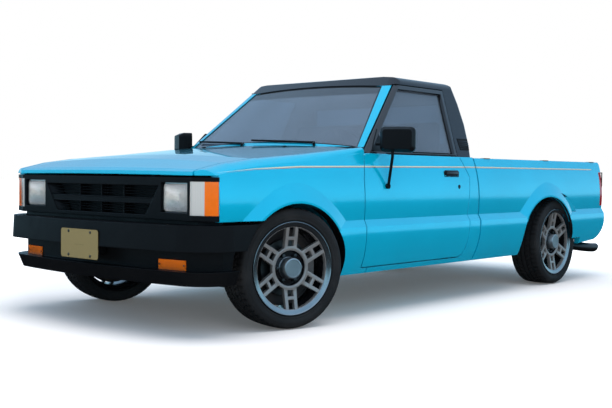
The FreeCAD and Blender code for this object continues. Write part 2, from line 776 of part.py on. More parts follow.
def exhaust():
    """Pipe beside the gearbox with a silencer, over the axle to a tip behind the left rear wheel."""
    low = FRAME_LOW_Z + CROSSMEMBER_HEIGHT + EXHAUST_RADIUS + SEAT_GAP
    high = BED_FRAME_TOP_Z - 55.0
    x = 200.0
    tip_start = REAR_Y - TIP_INSET - TIP_LENGTH
    points = [vec(x, station(300.0), low), vec(x, REAR_AXLE_Y - 470.0, low),
              vec(x, REAR_AXLE_Y - 280.0, high), vec(x, REAR_AXLE_Y + 200.0, high),
              vec(x + 110.0, REAR_AXLE_Y + 360.0, TIP_Z - 10.0), vec(TIP_X, tip_start - 10.0, TIP_Z - 4.0),
              vec(TIP_X, tip_start + 40.0, TIP_Z)]
    run = pipe(points, EXHAUST_RADIUS)
    silencer = block(x - 80, x + 90, station(1000.0), station(1420.0), FRAME_LOW_Z + 4.0, FRAME_TOP_Z - 4.0)
    tip = Part.makeCylinder(TIP_RADIUS, TIP_LENGTH, vec(TIP_X, tip_start, TIP_Z), vec(0, 1, 0))
    bore = Part.makeCylinder(TIP_RADIUS - TIP_WALL, TIP_BORE, vec(TIP_X, tip_start + TIP_LENGTH - TIP_BORE, TIP_Z),
                             vec(0, 1, 0))
    return fuse([run, silencer, tip]).cut(bore)


# Cab

def greenhouse_rear(z):
    """Station of the cab's rear wall above the belt."""
    for (z0, s0), (z1, s1) in zip(GREENHOUSE_REAR, GREENHOUSE_REAR[1:]):
        if z <= z1:
            return s0 + (z - z0) / (z1 - z0) * (s1 - s0)
    return GREENHOUSE_REAR[-1][1]


def greenhouse_wire(z, inset):
    """Plan outline of the glass house at a height, drawn in by inset."""
    share = (z - BELT_Z) / (ROOF_SIDE_Z - BELT_Z)

    def between(low, high):
        return low + share * (high - low)

    side = greenhouse_x(z) - inset
    mid_y = station(between(SCREEN_BASE_MID, SCREEN_TOP_MID)) + inset
    corner_y = station(between(SCREEN_BASE_CORNER, SCREEN_TOP_CORNER)) + inset
    corner_x = between(SCREEN_BASE_CORNER_X, SCREEN_TOP_CORNER_X) - inset
    rear = station(greenhouse_rear(z)) - inset
    turn = GREENHOUSE_CORNER
    round_in = turn * (1.0 - math.sqrt(0.5))
    front_side_y = corner_y + (side - corner_x)
    lean = side - corner_x
    edges = [
        arc(vec(-corner_x, corner_y, z), vec(0, mid_y, z), vec(corner_x, corner_y, z)),
        arc(vec(corner_x, corner_y, z), vec(corner_x + 0.72 * lean, corner_y + 0.45 * lean, z),
            vec(side, front_side_y, z)),
        line(vec(side, front_side_y, z), vec(side, rear - turn, z)),
        arc(vec(side, rear - turn, z), vec(side - round_in, rear - round_in, z), vec(side - turn, rear, z)),
        line(vec(side - turn, rear, z), vec(-side + turn, rear, z)),
        arc(vec(-side + turn, rear, z), vec(-side + round_in, rear - round_in, z), vec(-side, rear - turn, z)),
        line(vec(-side, rear - turn, z), vec(-side, front_side_y, z)),
        arc(vec(-side, front_side_y, z), vec(-corner_x - 0.72 * lean, corner_y + 0.45 * lean, z),
            vec(-corner_x, corner_y, z)),
    ]
    return Part.Wire(edges)


def greenhouse(inset, top_z):
    """Walls of the glass house from below the belt to top_z, drawn in by inset."""
    low_z = BELT_Z - 12.0
    levels = [low_z] + [z for z, s in GREENHOUSE_REAR if low_z + 1.0 < z < top_z - 1.0] + [top_z]
    return Part.makeLoft([greenhouse_wire(z, inset) for z in levels], True, True)


def roof_crown():
    """Roof form: a crowned front view run along the truck, trimmed by a crowned side view."""
    z0 = BELT_Z - 20.0
    y0 = station(SCREEN_BASE_MID) - 50.0
    y1 = station(ROOF_REAR)
    x = ROOF_SIDE_X
    e = ROOF_EDGE
    rise = ROOF_SHOULDER
    crest = ROOF_SIDE_Z + rise
    bend = ROOF_SIDE_Z + 0.68 * rise
    across = [
        line(vec(-BODY_WIDTH, y0, z0), vec(BODY_WIDTH, y0, z0)),
        line(vec(BODY_WIDTH, y0, z0), vec(x, y0, ROOF_SIDE_Z)),
        arc(vec(x, y0, ROOF_SIDE_Z), vec(x - 0.36 * e, y0, bend), vec(x - e, y0, crest)),
        arc(vec(x - e, y0, crest), vec(0, y0, ROOF_TOP_Z), vec(e - x, y0, crest)),
        arc(vec(e - x, y0, crest), vec(0.36 * e - x, y0, bend), vec(-x, y0, ROOF_SIDE_Z)),
        line(vec(-x, y0, ROOF_SIDE_Z), vec(-BODY_WIDTH, y0, z0)),
    ]
    front = face_of(across).extrude(vec(0, y1 - y0 + 100.0, 0))
    s0 = station(SCREEN_TOP_MID)
    left = -BODY_WIDTH
    mid = vec(left, (s0 + y1) / 2.0, ROOF_TOP_Z)
    nose = vec(left, s0 + e, crest)
    tail = vec(left, y1 - e, crest)
    along = [
        line(vec(left, y1, z0), vec(left, y0, z0)),
        line(vec(left, y0, z0), vec(left, s0 - 6.0, ROOF_SIDE_Z)),
        arc(vec(left, s0 - 6.0, ROOF_SIDE_Z), vec(left, s0 + 0.36 * e, bend), nose),
        arc(nose, mid, tail),
        arc(tail, vec(left, y1 - 0.34 * e, bend), vec(left, y1, ROOF_SIDE_Z)),
        line(vec(left, y1, ROOF_SIDE_Z), vec(left, y1, z0)),
    ]
    side = face_of(along).extrude(vec(2.0 * BODY_WIDTH, 0, 0))
    return front.common(side)


def cab_side_outline(x, shift, low_z, high_z):
    """Rear line of the cab side from low_z to high_z, moved back by shift."""
    return arc(vec(x, station(CAB_REAR_LOW) + shift, low_z),
               vec(x, station(CAB_REAR_MID) + shift, CAB_REAR_MID_Z),
               vec(x, station(CAB_REAR_TOP) + shift, high_z))


def lower_cab_solid():
    """Whole lower cab: the body-side section run along the cab and trimmed to its side view."""
    y0 = station(CAB_FRONT)
    long_y = station(CAB_REAR_MID) + 100.0 - y0
    points = side_points(y0, BELT_Z)
    sill = points[0]
    belt = points[-1]
    edges = side_edges(points) + [
        line(belt, vec(0, y0, BELT_Z)),
        line(vec(0, y0, BELT_Z), vec(0, y0, SILL_Z)),
        line(vec(0, y0, SILL_Z), sill),
    ]
    half = face_of(edges).extrude(vec(0, long_y, 0))
    x = -1.0
    rear = cab_side_outline(x, 0.0, SILL_Z, BELT_Z)
    trim = side_prism([
        rear,
        line(vec(x, station(CAB_REAR_TOP), BELT_Z), vec(x, y0, BELT_Z)),
        line(vec(x, y0, BELT_Z), vec(x, y0, SILL_Z)),
        line(vec(x, y0, SILL_Z), vec(x, station(CAB_REAR_LOW), SILL_Z)),
    ], x, BODY_WIDTH)
    half = half.common(trim)
    return fuse([half, mirrored(half)])


def cab_shell_solid():
    """Cab before the door, window and screen openings are cut."""
    low = lower_cab_solid()
    y0 = station(CAB_FRONT) + FIREWALL_THICK
    y1 = station(CAB_REAR_TOP) - WALL_THICK
    room = block(-DOOR_INNER_X, DOOR_INNER_X, y0, y1, FLOOR_Z, BELT_Z + 1.0)
    under = block(-SILL_INNER_X, SILL_INNER_X, station(CAB_FRONT) - 1.0, station(CAB_REAR_MID) + 1.0,
                  0.0, FLOOR_LOW_Z)
    half = TUNNEL_WIDTH / 2.0
    tunnel = block(-half, half, y0 - 1.0, y1 + 1.0, FLOOR_LOW_Z, TUNNEL_TOP_Z)
    bore = block(-half + TUNNEL_WALL, half - TUNNEL_WALL, station(CAB_FRONT) - 1.0,
                 station(CAB_REAR_MID) + 1.0, 0.0, TUNNEL_TOP_Z - TUNNEL_WALL)
    shelf_x = DOOR_INNER_X + 15.0
    shelf = block(-shelf_x, shelf_x, station(CAB_FRONT), station(SCREEN_BASE_CORNER) + 60.0,
                  BELT_Z - COWL_SHELF, BELT_Z)
    shell = low.cut([room, under])
    return shell.multiFuse([tunnel, shelf]).cut(bore)


def greenhouse_shell():
    """Walls and roof above the belt with the screen and rear window cut."""
    outer = greenhouse(0.0, ROOF_TOP_Z + 10.0).common(roof_crown())
    inner = greenhouse(WALL_THICK, CEILING_Z)
    below = block(-BODY_WIDTH, BODY_WIDTH, -LENGTH, LENGTH, BELT_Z - 30.0, BELT_Z)
    return outer.cut([inner, below, screen_prism(0.0), rear_window_prism(0.0)])


def screen_prism(grow):
    """Block square to the windshield, over its daylight opening."""
    low_x, low_s, low_z = SCREEN_LOW
    high_x, high_s, high_z = SCREEN_HIGH
    slope = vec(0, high_s - low_s, high_z - low_z)
    slope.normalize()
    normal = vec(0, -slope.z, slope.y)
    reach = 140.0
    low = vec(0, station(low_s), low_z) - slope * grow - normal * reach
    high = vec(0, station(high_s), high_z) + slope * grow - normal * reach
    points = [
        low + vec(low_x + grow, 0, 0),
        high + vec(high_x + grow, 0, 0),
        high - vec(high_x + grow, 0, 0),
        low - vec(low_x + grow, 0, 0),
    ]
    return prism(points, normal * (2.0 * reach))


def rear_window_prism(grow):
    x = REAR_WINDOW_HALF_WIDTH + grow
    y = station(CAB_REAR_TOP)
    return block(-x, x, y - 200.0, y + 100.0, REAR_WINDOW_LOW_Z - grow, REAR_WINDOW_HIGH_Z + grow)


def glass_layer(inset):
    top = ROOF_TOP_Z
    return greenhouse(inset, top).cut(greenhouse(inset + GLASS_THICK, top + 1.0))


def windshield():
    """Curved glass that fills the screen opening."""
    ahead = block(-BODY_WIDTH, BODY_WIDTH, -LENGTH, station(SCREEN_TOP_CORNER) + 60.0, BELT_Z, ROOF_TOP_Z)
    return glass_layer(GLASS_INSET).common(screen_prism(-SEAL_GAP)).common(ahead)


def rear_window():
    return glass_layer(GLASS_INSET).common(rear_window_prism(-SEAL_GAP))


def roof_zone():
    """Space of the black upper cab: the roof, and the rear corners above the belt."""
    x = SCREEN_HIGH[0] - WALL_THICK
    above = ROOF_TOP_Z + 100.0
    pillar_end = station(DOOR_OUTLINE[5][0] + 20.0)
    top = block(-BODY_WIDTH, BODY_WIDTH, -LENGTH, LENGTH, SCREEN_HIGH[2], above)
    header = block(-x, x, -LENGTH, LENGTH, CEILING_Z - WALL_THICK, above)
    sides = block(-BODY_WIDTH, BODY_WIDTH, pillar_end, LENGTH, CEILING_Z - WALL_THICK, above)
    rear = block(-BODY_WIDTH, BODY_WIDTH, station(DOOR_OUTLINE[7][0] - 40.0), LENGTH, BELT_Z, above)
    return top.multiFuse([header, sides, rear])


def door_run(grow, slant):
    """Left door outline run inwards along a slant."""
    x_in = ROOF_SIDE_X - 2.0 * WALL_THICK
    points = []
    for s, z in DOOR_OUTLINE:
        points.append(vec(x_in, station(s) - slant * (skin_x(z) - x_in), z))
    face = Part.Face(polygon(points))
    if grow != 0.0:
        face = face.makeOffset2D(grow)
    reach = HALF_WIDTH + 60.0 - x_in
    return face.extrude(vec(reach, slant * reach, 0))


def door_prism(grow):
    """Left door's space in the cab side, its rear edge slanted so that the door swings clear."""
    split = block(0, BODY_WIDTH, -LENGTH, station(DOOR_SPLIT), 0, ROOF_TOP_Z)
    whole = fuse([door_run(grow, DOOR_FRONT_SLANT).common(split), door_run(grow, DOOR_SLANT).cut(split)])
    depth = WALL_THICK + DOOR_FLANGE + (grow if grow > 0.0 else -1.0)
    inside = prism([
        vec(0, -LENGTH, 0), vec(DOOR_INNER_X, -LENGTH, 0), vec(DOOR_INNER_X, -LENGTH, BELT_Z),
        vec(GLASS_BASE_X - depth, -LENGTH, BELT_Z), vec(ROOF_SIDE_X - depth, -LENGTH, ROOF_SIDE_Z),
        vec(0, -LENGTH, ROOF_SIDE_Z),
    ], vec(0, 2.0 * LENGTH, 0))
    return whole.cut(inside)


def window_prism(grow):
    """Opening of the left door's window."""
    above = block(0, BODY_WIDTH, -LENGTH, LENGTH, BELT_Z + WINDOW_SILL_RISE - grow, ROOF_TOP_Z)
    return door_prism(grow - DOOR_FRAME_WIDTH).common(above)


def cab_and_roof(shell, house):
    """Painted cab with its windshield pillars, and the separate black upper cab."""
    left = block(0, BODY_WIDTH, -LENGTH, LENGTH, 0, ROOF_TOP_Z + 100.0)
    opening = door_prism(PANEL_GAP)
    house = house.common(left).cut(opening)
    roof = house.common(roof_zone())
    pillars = house.cut(roof_zone())
    ahead = block(DOOR_INNER_X + 20.0, BODY_WIDTH, station(CAB_FRONT) - 1.0,
                  station(DOOR_OUTLINE[0][0]) + 60.0, 0.0, BELT_Z + 1.0)
    under_hood = block(-1.0, BODY_WIDTH, station(CAB_FRONT) - 1.0, station(HOOD_REAR) + PANEL_GAP,
                       HOOD_CLEAR_Z, BELT_Z + 1.0)
    cab = shell.common(left).cut([opening, ahead, under_hood]).fuse(pillars)
    return fuse([cab, mirrored(cab)]), fuse([roof, mirrored(roof)])


def door(shell, house):
    """Left door: the whole thickness of the cab side inside the door outline."""
    body = shell.fuse(house).common(door_prism(0.0))
    body = body.cut(window_prism(0.0))
    return body.removeSplitter()


def door_glass():
    layer = glass_layer(GLASS_INSET + 10.0)
    return biggest(layer.common(window_prism(-SEAL_GAP)))


def mirror():
    """Left door mirror: head on an arm from the window corner, with a strut to the door skin."""
    y0 = station(MIRROR_STATION)
    x0 = MIRROR_INNER_X
    x1 = x0 + MIRROR_WIDTH
    z0 = MIRROR_Z - MIRROR_HEIGHT / 2.0
    z1 = z0 + MIRROR_HEIGHT
    t = MIRROR_TAPER
    nose = rounded_frame(x0 + t, x1 - t, y0, z0 + t, z1 - t, MIRROR_CORNER - t * 0.5)
    waist = rounded_frame(x0, x1, y0 + MIRROR_DEPTH * 0.4, z0, z1, MIRROR_CORNER)
    back = rounded_frame(x0, x1, y0 + MIRROR_DEPTH, z0, z1, MIRROR_CORNER)
    head = Part.makeLoft([nose, waist, back], True, True)
    head.rotate(vec(x0, y0, 0), vec(0, 0, 1), MIRROR_TURN)
    knee_x = x0 + 46.0
    knee_y = y0 + 60.0
    pad_x = skin_x(MIRROR_FOOT_Z - MIRROR_PAD_RADIUS) + SEAT_GAP
    foot = vec(pad_x + MIRROR_ARM_RADIUS + 1.0, y0 + 78.0, MIRROR_FOOT_Z)
    strut = pipe([foot, vec(knee_x, knee_y, z0 - MIRROR_KNEE_DROP), vec(knee_x, knee_y, z0 + 14.0)],
                 MIRROR_ARM_RADIUS)
    pad = Part.makeCylinder(MIRROR_PAD_RADIUS, 14.0, vec(pad_x, foot.y, MIRROR_FOOT_Z), vec(1, 0, 0))
    arm_z = MIRROR_Z - 25.0
    arm_x = greenhouse_x(arm_z - MIRROR_ARM_RADIUS) + SEAT_GAP
    arm = rod(vec(arm_x, y0 + 62.0, arm_z), vec(x0 + 10.0, y0 + 62.0, arm_z), MIRROR_ARM_RADIUS)
    return fuse([head, strut, pad, arm])


# Sheet metal ahead of the cab

def hood_line_at(s):
    """Height and distance from the middle of the hood line at a station."""
    for (s0, z0, x0), (s1, z1, x1) in zip(HOOD_LINE, HOOD_LINE[1:]):
        if s <= s1:
            share = (s - s0) / (s1 - s0)
            return z0 + share * (z1 - z0), x0 + share * (x1 - x0)
    return HOOD_LINE[-1][1], HOOD_LINE[-1][2]


def fender_wire(s, seam_z, seam_x):
    y = station(s)
    top_z = seam_z - SHOULDER_DROP
    points = side_points(y, top_z)
    shoulder = points[-1]
    seam = vec(seam_x + PANEL_GAP / 2.0, y, seam_z)
    crown = (shoulder + seam) * 0.5 + vec(7.0, 0, 9.0)
    t = PANEL_THICK
    inner = [
        seam - vec(0, 0, t),
        shoulder - vec(t, 0, t * 0.6),
        points[3] - vec(t, 0, 0),
        points[0] - vec(t * 0.8, 0, 0),
    ]
    edges = side_edges(points) + [arc(shoulder, crown, seam), line(seam, inner[0])]
    edges += [line(a, b) for a, b in zip(inner, inner[1:])]
    edges.append(line(inner[-1], points[0]))
    return Part.Wire(edges)


def nose_corner():
    """Space outside the rounded left corner of the nose."""
    y = station(HOOD_LINE[0][0])
    far = y - 200.0
    x = GRILLE_HALF_WIDTH
    points = [vec(GRILLE_FLAT_X, far, 0), vec(GRILLE_FLAT_X, y - 1.0, 0),
              vec(GRILLE_TURN_X, y + GRILLE_TURN_DEPTH, 0), vec(x, y + GRILLE_END_DEPTH, 0),
              vec(x + GRILLE_END_DEPTH, y + 2.0 * GRILLE_END_DEPTH, 0), vec(x + GRILLE_END_DEPTH, far, 0)]
    return prism(points, vec(0, 0, ROOF_TOP_Z))


def fender():
    """Left front fender with its flare, from the nose over the lamp back to the door."""
    wires = [fender_wire(s, z, x) for s, z, x in HOOD_LINE]
    panel = Part.makeLoft(wires, True, True)
    flare = arch_flare(FRONT_ARCH_Y, FRONT_ARCH_LENGTH)
    rear_half = block(0, BODY_WIDTH, FRONT_ARCH_Y - 700.0, FRONT_ARCH_Y + 700.0, 0, ROOF_TOP_Z)
    panel = panel.fuse(flare.common(rear_half))
    lamp = block(0, BODY_WIDTH, station(GRILLE_FACE) - 200.0, station(FENDER_FRONT), 0, NOSE_LOW_Z)
    below = block(0, BODY_WIDTH, station(GRILLE_FACE) - 200.0, FRONT_ARCH_Y, 0, FENDER_FRONT_Z)
    behind = block(0, BODY_WIDTH, station(DOOR_OUTLINE[3][0] + 60.0), LENGTH, 0, ROOF_TOP_Z)
    panel = panel.cut([lamp, below, behind, nose_corner(), arch_cutter(FRONT_ARCH_Y, FRONT_ARCH_LENGTH),
                       door_prism(PANEL_GAP)])
    return biggest(panel)


def biggest(shape):
    return max(shape.Solids, key=lambda s: s.Volume)


def hood_crown_at(s):
    """Rise of the hood's middle over its edges, small at the nose."""
    share = min((s - HOOD_LINE[0][0]) / NOSE_LENGTH, 1.0)
    return NOSE_CROWN + share * (HOOD_CROWN - NOSE_CROWN)


def hood_wire(s, z, x):
    y = station(s)
    crown = hood_crown_at(s)
    half = x - PANEL_GAP / 2.0
    t = HOOD_THICK
    left = vec(half, y, z)
    right = vec(-half, y, z)
    edges = [
        arc(right, vec(0, y, z + crown), left),
        line(left, left - vec(0, 0, t)),
        arc(left - vec(0, 0, t), vec(0, y, z + crown - t), right - vec(0, 0, t)),
        line(right - vec(0, 0, t), right),
    ]
    return Part.Wire(edges)


def hood():
    """Crowned hood between the fenders, hinged at the cowl."""
    wires = [hood_wire(s, z, x) for s, z, x in HOOD_LINE[:-1]]
    end_z, end_x = hood_line_at(HOOD_REAR)
    wires.append(hood_wire(HOOD_REAR, end_z, end_x))
    return Part.makeLoft(wires, True, True)


def cowl_panel():
    """Strip between hood and windshield, on top of the firewall."""
    y0 = station(HOOD_REAR) + PANEL_GAP + 6.0
    x = DOOR_INNER_X - PANEL_GAP - 2.0
    body = block(-x, x, y0, station(SCREEN_LOW[1]) + 40.0, BELT_Z + SEAT_GAP, COWL_TOP_Z)
    return body.cut(greenhouse(-SEAT_GAP, ROOF_TOP_Z))


def screen_point(x, z, lift):
    """A point lifted ahead of the windshield's outer face at a place across and a height."""
    share = (z - BELT_Z) / (ROOF_SIDE_Z - BELT_Z)
    mid = SCREEN_BASE_MID + share * (SCREEN_TOP_MID - SCREEN_BASE_MID)
    corner = SCREEN_BASE_CORNER + share * (SCREEN_TOP_CORNER - SCREEN_BASE_CORNER)
    corner_x = SCREEN_BASE_CORNER_X + share * (SCREEN_TOP_CORNER_X - SCREEN_BASE_CORNER_X)
    bow = (x / corner_x) ** 2
    return vec(x, station(mid + bow * (corner - mid)) - lift, z)


def wipers():
    """Two wipers parked along the lower edge of the windshield, each on a pivot in the cowl."""
    arms = []
    for pivot_x, tip_x in WIPER_SPANS:
        foot = screen_point(pivot_x, COWL_TOP_Z, 2.0 * WIPER_LIFT)
        foot.z = COWL_TOP_Z + WIPER_RADIUS + SEAT_GAP
        head = foot + vec(0, 0, WIPER_PIVOT_HEIGHT)
        heel = screen_point(pivot_x - 40.0, WIPER_HEEL_Z, WIPER_LIFT)
        tip = screen_point(tip_x, WIPER_TIP_Z, WIPER_LIFT)
        middle = screen_point((pivot_x + tip_x) / 2.0, (WIPER_HEEL_Z + WIPER_TIP_Z) / 2.0, WIPER_LIFT)
        route = [foot, head, heel, middle, tip]
        arms.append(fuse([bar(a, b, 2.0 * WIPER_RADIUS) for a, b in zip(route, route[1:])]))
    return Part.makeCompound(arms)


def inner_wings():
    """Wheelhouse walls of the engine bay with the radiator panel between them."""
    x0 = RAIL_X + RAIL_WIDTH / 2.0
    y0 = station(GRILLE_FACE) + LAMP_SETBACK + GRILLE_DEPTH + SEAT_GAP
    y1 = station(CAB_FRONT) - SEAT_GAP
    wall = block(x0, x0 + 12.0, y0, y1, FRAME_TOP_Z + SEAT_GAP, 760.0)
    shelf = block(x0, HALF_WIDTH - 70.0, y0, y1, 700.0, 712.0)
    return both_sides(fuse([wall, shelf]))


# Front end

def surround_body():
    """Plain body of the surround: flat between the headlamps, turned back at its ends."""
    y0 = station(GRILLE_FACE)
    y1 = y0 + GRILLE_DEPTH
    z = GRILLE_LOW_Z
    x = GRILLE_HALF_WIDTH
    right = [vec(GRILLE_FLAT_X, y0, z), vec(GRILLE_TURN_X, y0 + GRILLE_TURN_DEPTH, z),
             vec(x, y0 + GRILLE_END_DEPTH, z), vec(x, y1, z)]
    left = [vec(-p.x, p.y, p.z) for p in reversed(right)]
    return prism(right + left, vec(0, 0, GRILLE_HIGH_Z - z))


def grille_opening(y0, y1, grow):
    """Space of the cells, wider at the top."""
    low = GRILLE_OPENING_LOW_Z
    high = GRILLE_OPENING_HIGH_Z
    low_x = GRILLE_OPENING_LOW_X + grow
    top_x = GRILLE_OPENING_TOP_X + grow
    return prism([vec(-low_x, y0, low), vec(low_x, y0, low), vec(top_x, y0, high), vec(-top_x, y0, high)],
                 vec(0, y1 - y0, 0))


def grille():
    """Black surround with lamp pockets, twin rows of cells and a centre bar."""
    y0 = station(GRILLE_FACE)
    y1 = y0 + GRILLE_DEPTH
    pocket = HEADLAMP_WIDTH / 2.0 + SEAT_GAP
    tools = [grille_opening(y0 - 1.0, y1 + 1.0, 0.0)]
    for side in (-1, 1):
        mid = side * HEADLAMP_MID_X
        tools.append(block(mid - pocket, mid + pocket, y0 - 1, y1 + 1,
                           HEADLAMP_LOW_Z - SEAT_GAP, HEADLAMP_HIGH_Z + SEAT_GAP))
        near = side * CORNER_LAMP_X
        far = side * (GRILLE_HALF_WIDTH + 10.0)
        tools.append(block(min(near, far), max(near, far), y0 - 1, y1 + 1,
                           CORNER_LAMP_LOW_Z - SEAT_GAP, CORNER_LAMP_HIGH_Z + SEAT_GAP))
    body = surround_body().cut(tools)
    half = GRILLE_BAR_HEIGHT / 2.0
    reach = GRILLE_OPENING_TOP_X
    deep = y1 - GRILLE_BACK
    bars = [block(-reach, reach, y0 + 4, deep + 1, GRILLE_BAR_Z - half, GRILLE_BAR_Z + half)]
    for k in GRILLE_DIVIDERS:
        x = k * GRILLE_CELL_WIDTH
        bars.append(block(x - 3, x + 3, y0 + 14, deep + 1, GRILLE_OPENING_LOW_Z - 2, GRILLE_OPENING_HIGH_Z + 2))
    return fuse([body, grille_opening(deep, y1, 10.0)] + bars)


def headlamps():
    y0 = station(GRILLE_FACE) + LAMP_SETBACK
    half = HEADLAMP_WIDTH / 2.0
    lamp = block(HEADLAMP_MID_X - half, HEADLAMP_MID_X + half, y0, y0 + GRILLE_DEPTH,
                 HEADLAMP_LOW_Z, HEADLAMP_HIGH_Z)
    edges = [e for e in lamp.Edges if abs(e.Vertexes[0].Y - e.Vertexes[-1].Y) > 1.0]
    return both_sides(lamp.makeFillet(12.0, edges))


def corner_lamps():
    """Clear and amber lamp that wraps round each front corner."""
    y0 = station(GRILLE_FACE) + 2.0
    y1 = station(FENDER_FRONT) - SEAT_GAP
    z0 = CORNER_LAMP_LOW_Z
    x0 = CORNER_LAMP_X + SEAT_GAP
    x1 = GRILLE_HALF_WIDTH - 4.0
    turn = vec(GRILLE_TURN_X - 2.0, y0 + GRILLE_TURN_DEPTH - 2.0, z0)
    end = vec(x1, y0 + GRILLE_END_DEPTH - 2.0, z0)
    edges = [
        line(vec(x0, y0, z0), vec(GRILLE_FLAT_X, y0, z0)),
        arc(vec(GRILLE_FLAT_X, y0, z0), turn, end),
        line(end, vec(x1, y1, z0)),
        line(vec(x1, y1, z0), vec(x0, y1, z0)),
        line(vec(x0, y1, z0), vec(x0, y0, z0)),
    ]
    lamp = face_of(edges).extrude(vec(0, 0, CORNER_LAMP_HIGH_Z - z0))
    return both_sides(lamp)


def bumper_corner(inset):
    """Where the bumper's bowed face meets its rounded corner, drawn in by inset."""
    return BUMPER_CORNER_X - 0.2 * inset, BUMPER_CORNER + 0.98 * inset


def bumper_face_at(x, inset):
    """Station of the bowed face, drawn in by inset, at a distance from the middle."""
    corner_x, corner = bumper_corner(inset)
    cx, cs, radius = circle_centre((-corner_x, corner), (0.0, inset - FRONT_OVERHANG), (corner_x, corner))
    return cs - math.sqrt(radius * radius - x * x)


def bumper_outline(z, inset):
    """Plan of the bumper: bowed face, rounded corners and ends that run back."""
    corner_x, corner = bumper_corner(inset)
    side_x = HALF_WIDTH - inset

    def right(v):
        return vec(-v.x, v.y, v.z)

    a = vec(side_x, station(BUMPER_END), z)
    b = vec(side_x, station(BUMPER_SIDE) + 0.1 * inset, z)
    m = vec(BUMPER_BLEND_X - 0.74 * inset, station(BUMPER_BLEND) + 0.67 * inset, z)
    c = vec(corner_x, station(corner), z)
    top = vec(0, station(inset - FRONT_OVERHANG), z)
    edges = [line(a, b), arc(b, m, c), arc(c, top, right(c)), arc(right(c), right(m), right(b)),
             line(right(b), right(a)), line(right(a), a)]
    return Part.Wire(edges)


def bumper_slab(z0, z1, near, far):
    """Bowed slab between two insets, closed across the middle."""
    outer = Part.makeLoft([bumper_outline(z0, near), bumper_outline(z1, near)], True, True)
    return outer.cut(Part.makeLoft([bumper_outline(z0, far), bumper_outline(z1, far)], True, True))


def bumper_layer(z0, z1, inset0, inset1, wall=BUMPER_WALL):
    outer = Part.makeLoft([bumper_outline(z0, inset0), bumper_outline(z1, inset1)], True, True)
    inner = Part.makeLoft([bumper_outline(z0, max(inset0, inset1) + wall),
                           bumper_outline(z1, max(inset0, inset1) + wall)], True, True)
    open_end = inner.copy()
    open_end.translate(vec(0, 20.0, 0))
    return outer.cut([inner, open_end])


def front_bumper():
    """Moulded bumper: upper band, recessed middle and a lower lip, cut to the wheel arches."""
    upper = bumper_layer(BUMPER_STEP_Z, BUMPER_TOP_Z, 0.0, 6.0, BUMPER_RECESS + BUMPER_WALL / 2.0)
    middle = bumper_layer(BUMPER_LIP_Z, BUMPER_STEP_Z, BUMPER_RECESS, BUMPER_RECESS)
    lip = bumper_layer(BUMPER_LOW_Z, BUMPER_LIP_Z, BUMPER_LIP_LOW_INSET, BUMPER_LIP_TOP_INSET)
    body = fuse([upper, middle, lip])
    arch = arch_cutter(FRONT_ARCH_Y, FRONT_ARCH_LENGTH)
    pocket = bumper_lamp(SEAT_GAP)
    return cut(body, [arch, mirrored(arch), pocket, mirrored(pocket)])


def bumper_lamp(grow):
    """Left bumper lamp following the bowed recess; grown, its pocket."""
    half = FOG_WIDTH / 2.0 + grow
    near = BUMPER_RECESS - FOG_PROUD
    slab = bumper_slab(FOG_LOW_Z - grow, FOG_HIGH_Z + grow, near, near + FOG_DEPTH + grow)
    side = block(FOG_MID_X - half, FOG_MID_X + half, -LENGTH, station(BUMPER_SIDE), 0, ROOF_TOP_Z)
    return slab.common(side)


def bumper_lamps():
    return both_sides(bumper_lamp(0.0))


# Cab fittings in the cab

def bench_seat():
    y0 = station(SEAT_FRONT)
    y1 = station(CAB_REAR_TOP) - WALL_THICK - SEAT_GAP
    half = SEAT_HALF_WIDTH
    low = block(-half, half, y0, y1 - 130.0, TUNNEL_TOP_Z + SEAT_GAP, SEAT_TOP_Z)
    inner = TUNNEL_WIDTH / 2.0 + SEAT_GAP
    plinth = block(inner, half - 40.0, y0 + 60.0, y1 - 150.0, FLOOR_Z + SEAT_GAP, TUNNEL_TOP_Z + SEAT_GAP)
    cushion = fuse([low, plinth, mirrored(plinth)])
    back_points = [vec(-half, y1 - 130.0 + SEAT_GAP, TUNNEL_TOP_Z + SEAT_GAP),
                   vec(-half, y1, TUNNEL_TOP_Z + SEAT_GAP), vec(-half, y1, SEAT_BACK_TOP_Z),
                   vec(-half, y1 - 85.0, SEAT_BACK_TOP_Z), vec(-half, y1 - 130.0 + SEAT_GAP, SEAT_TOP_Z)]
    back = prism(back_points, vec(2.0 * half, 0, 0))
    return Part.makeCompound([cushion, back])


def dashboard():
    y0 = station(CAB_FRONT) + FIREWALL_THICK + SEAT_GAP
    x = DOOR_INNER_X - 14.0
    high = BELT_Z - COWL_SHELF - SEAT_GAP
    points = [vec(-x, y0, 640.0), vec(-x, y0, high), vec(-x, y0 + DASH_DEPTH - 50.0, high),
              vec(-x, y0 + DASH_DEPTH, high - 25.0), vec(-x, y0 + DASH_DEPTH - 30.0, 660.0),
              vec(-x, y0 + 200.0, 640.0)]
    return prism(points, vec(2.0 * x, 0, 0))


def steering_axis():
    tilt = math.radians(STEERING_TILT)
    return vec(0, math.cos(tilt), math.sin(tilt))


def steering_column():
    axis = steering_axis()
    top = vec(STEERING_X, station(STEERING_STATION), STEERING_Z) - axis * 40.0
    dash_y = station(CAB_FRONT) + FIREWALL_THICK + DASH_DEPTH + 14.0
    reach = (top.y - dash_y) / axis.y
    return rod(top - axis * reach, top, 26.0)


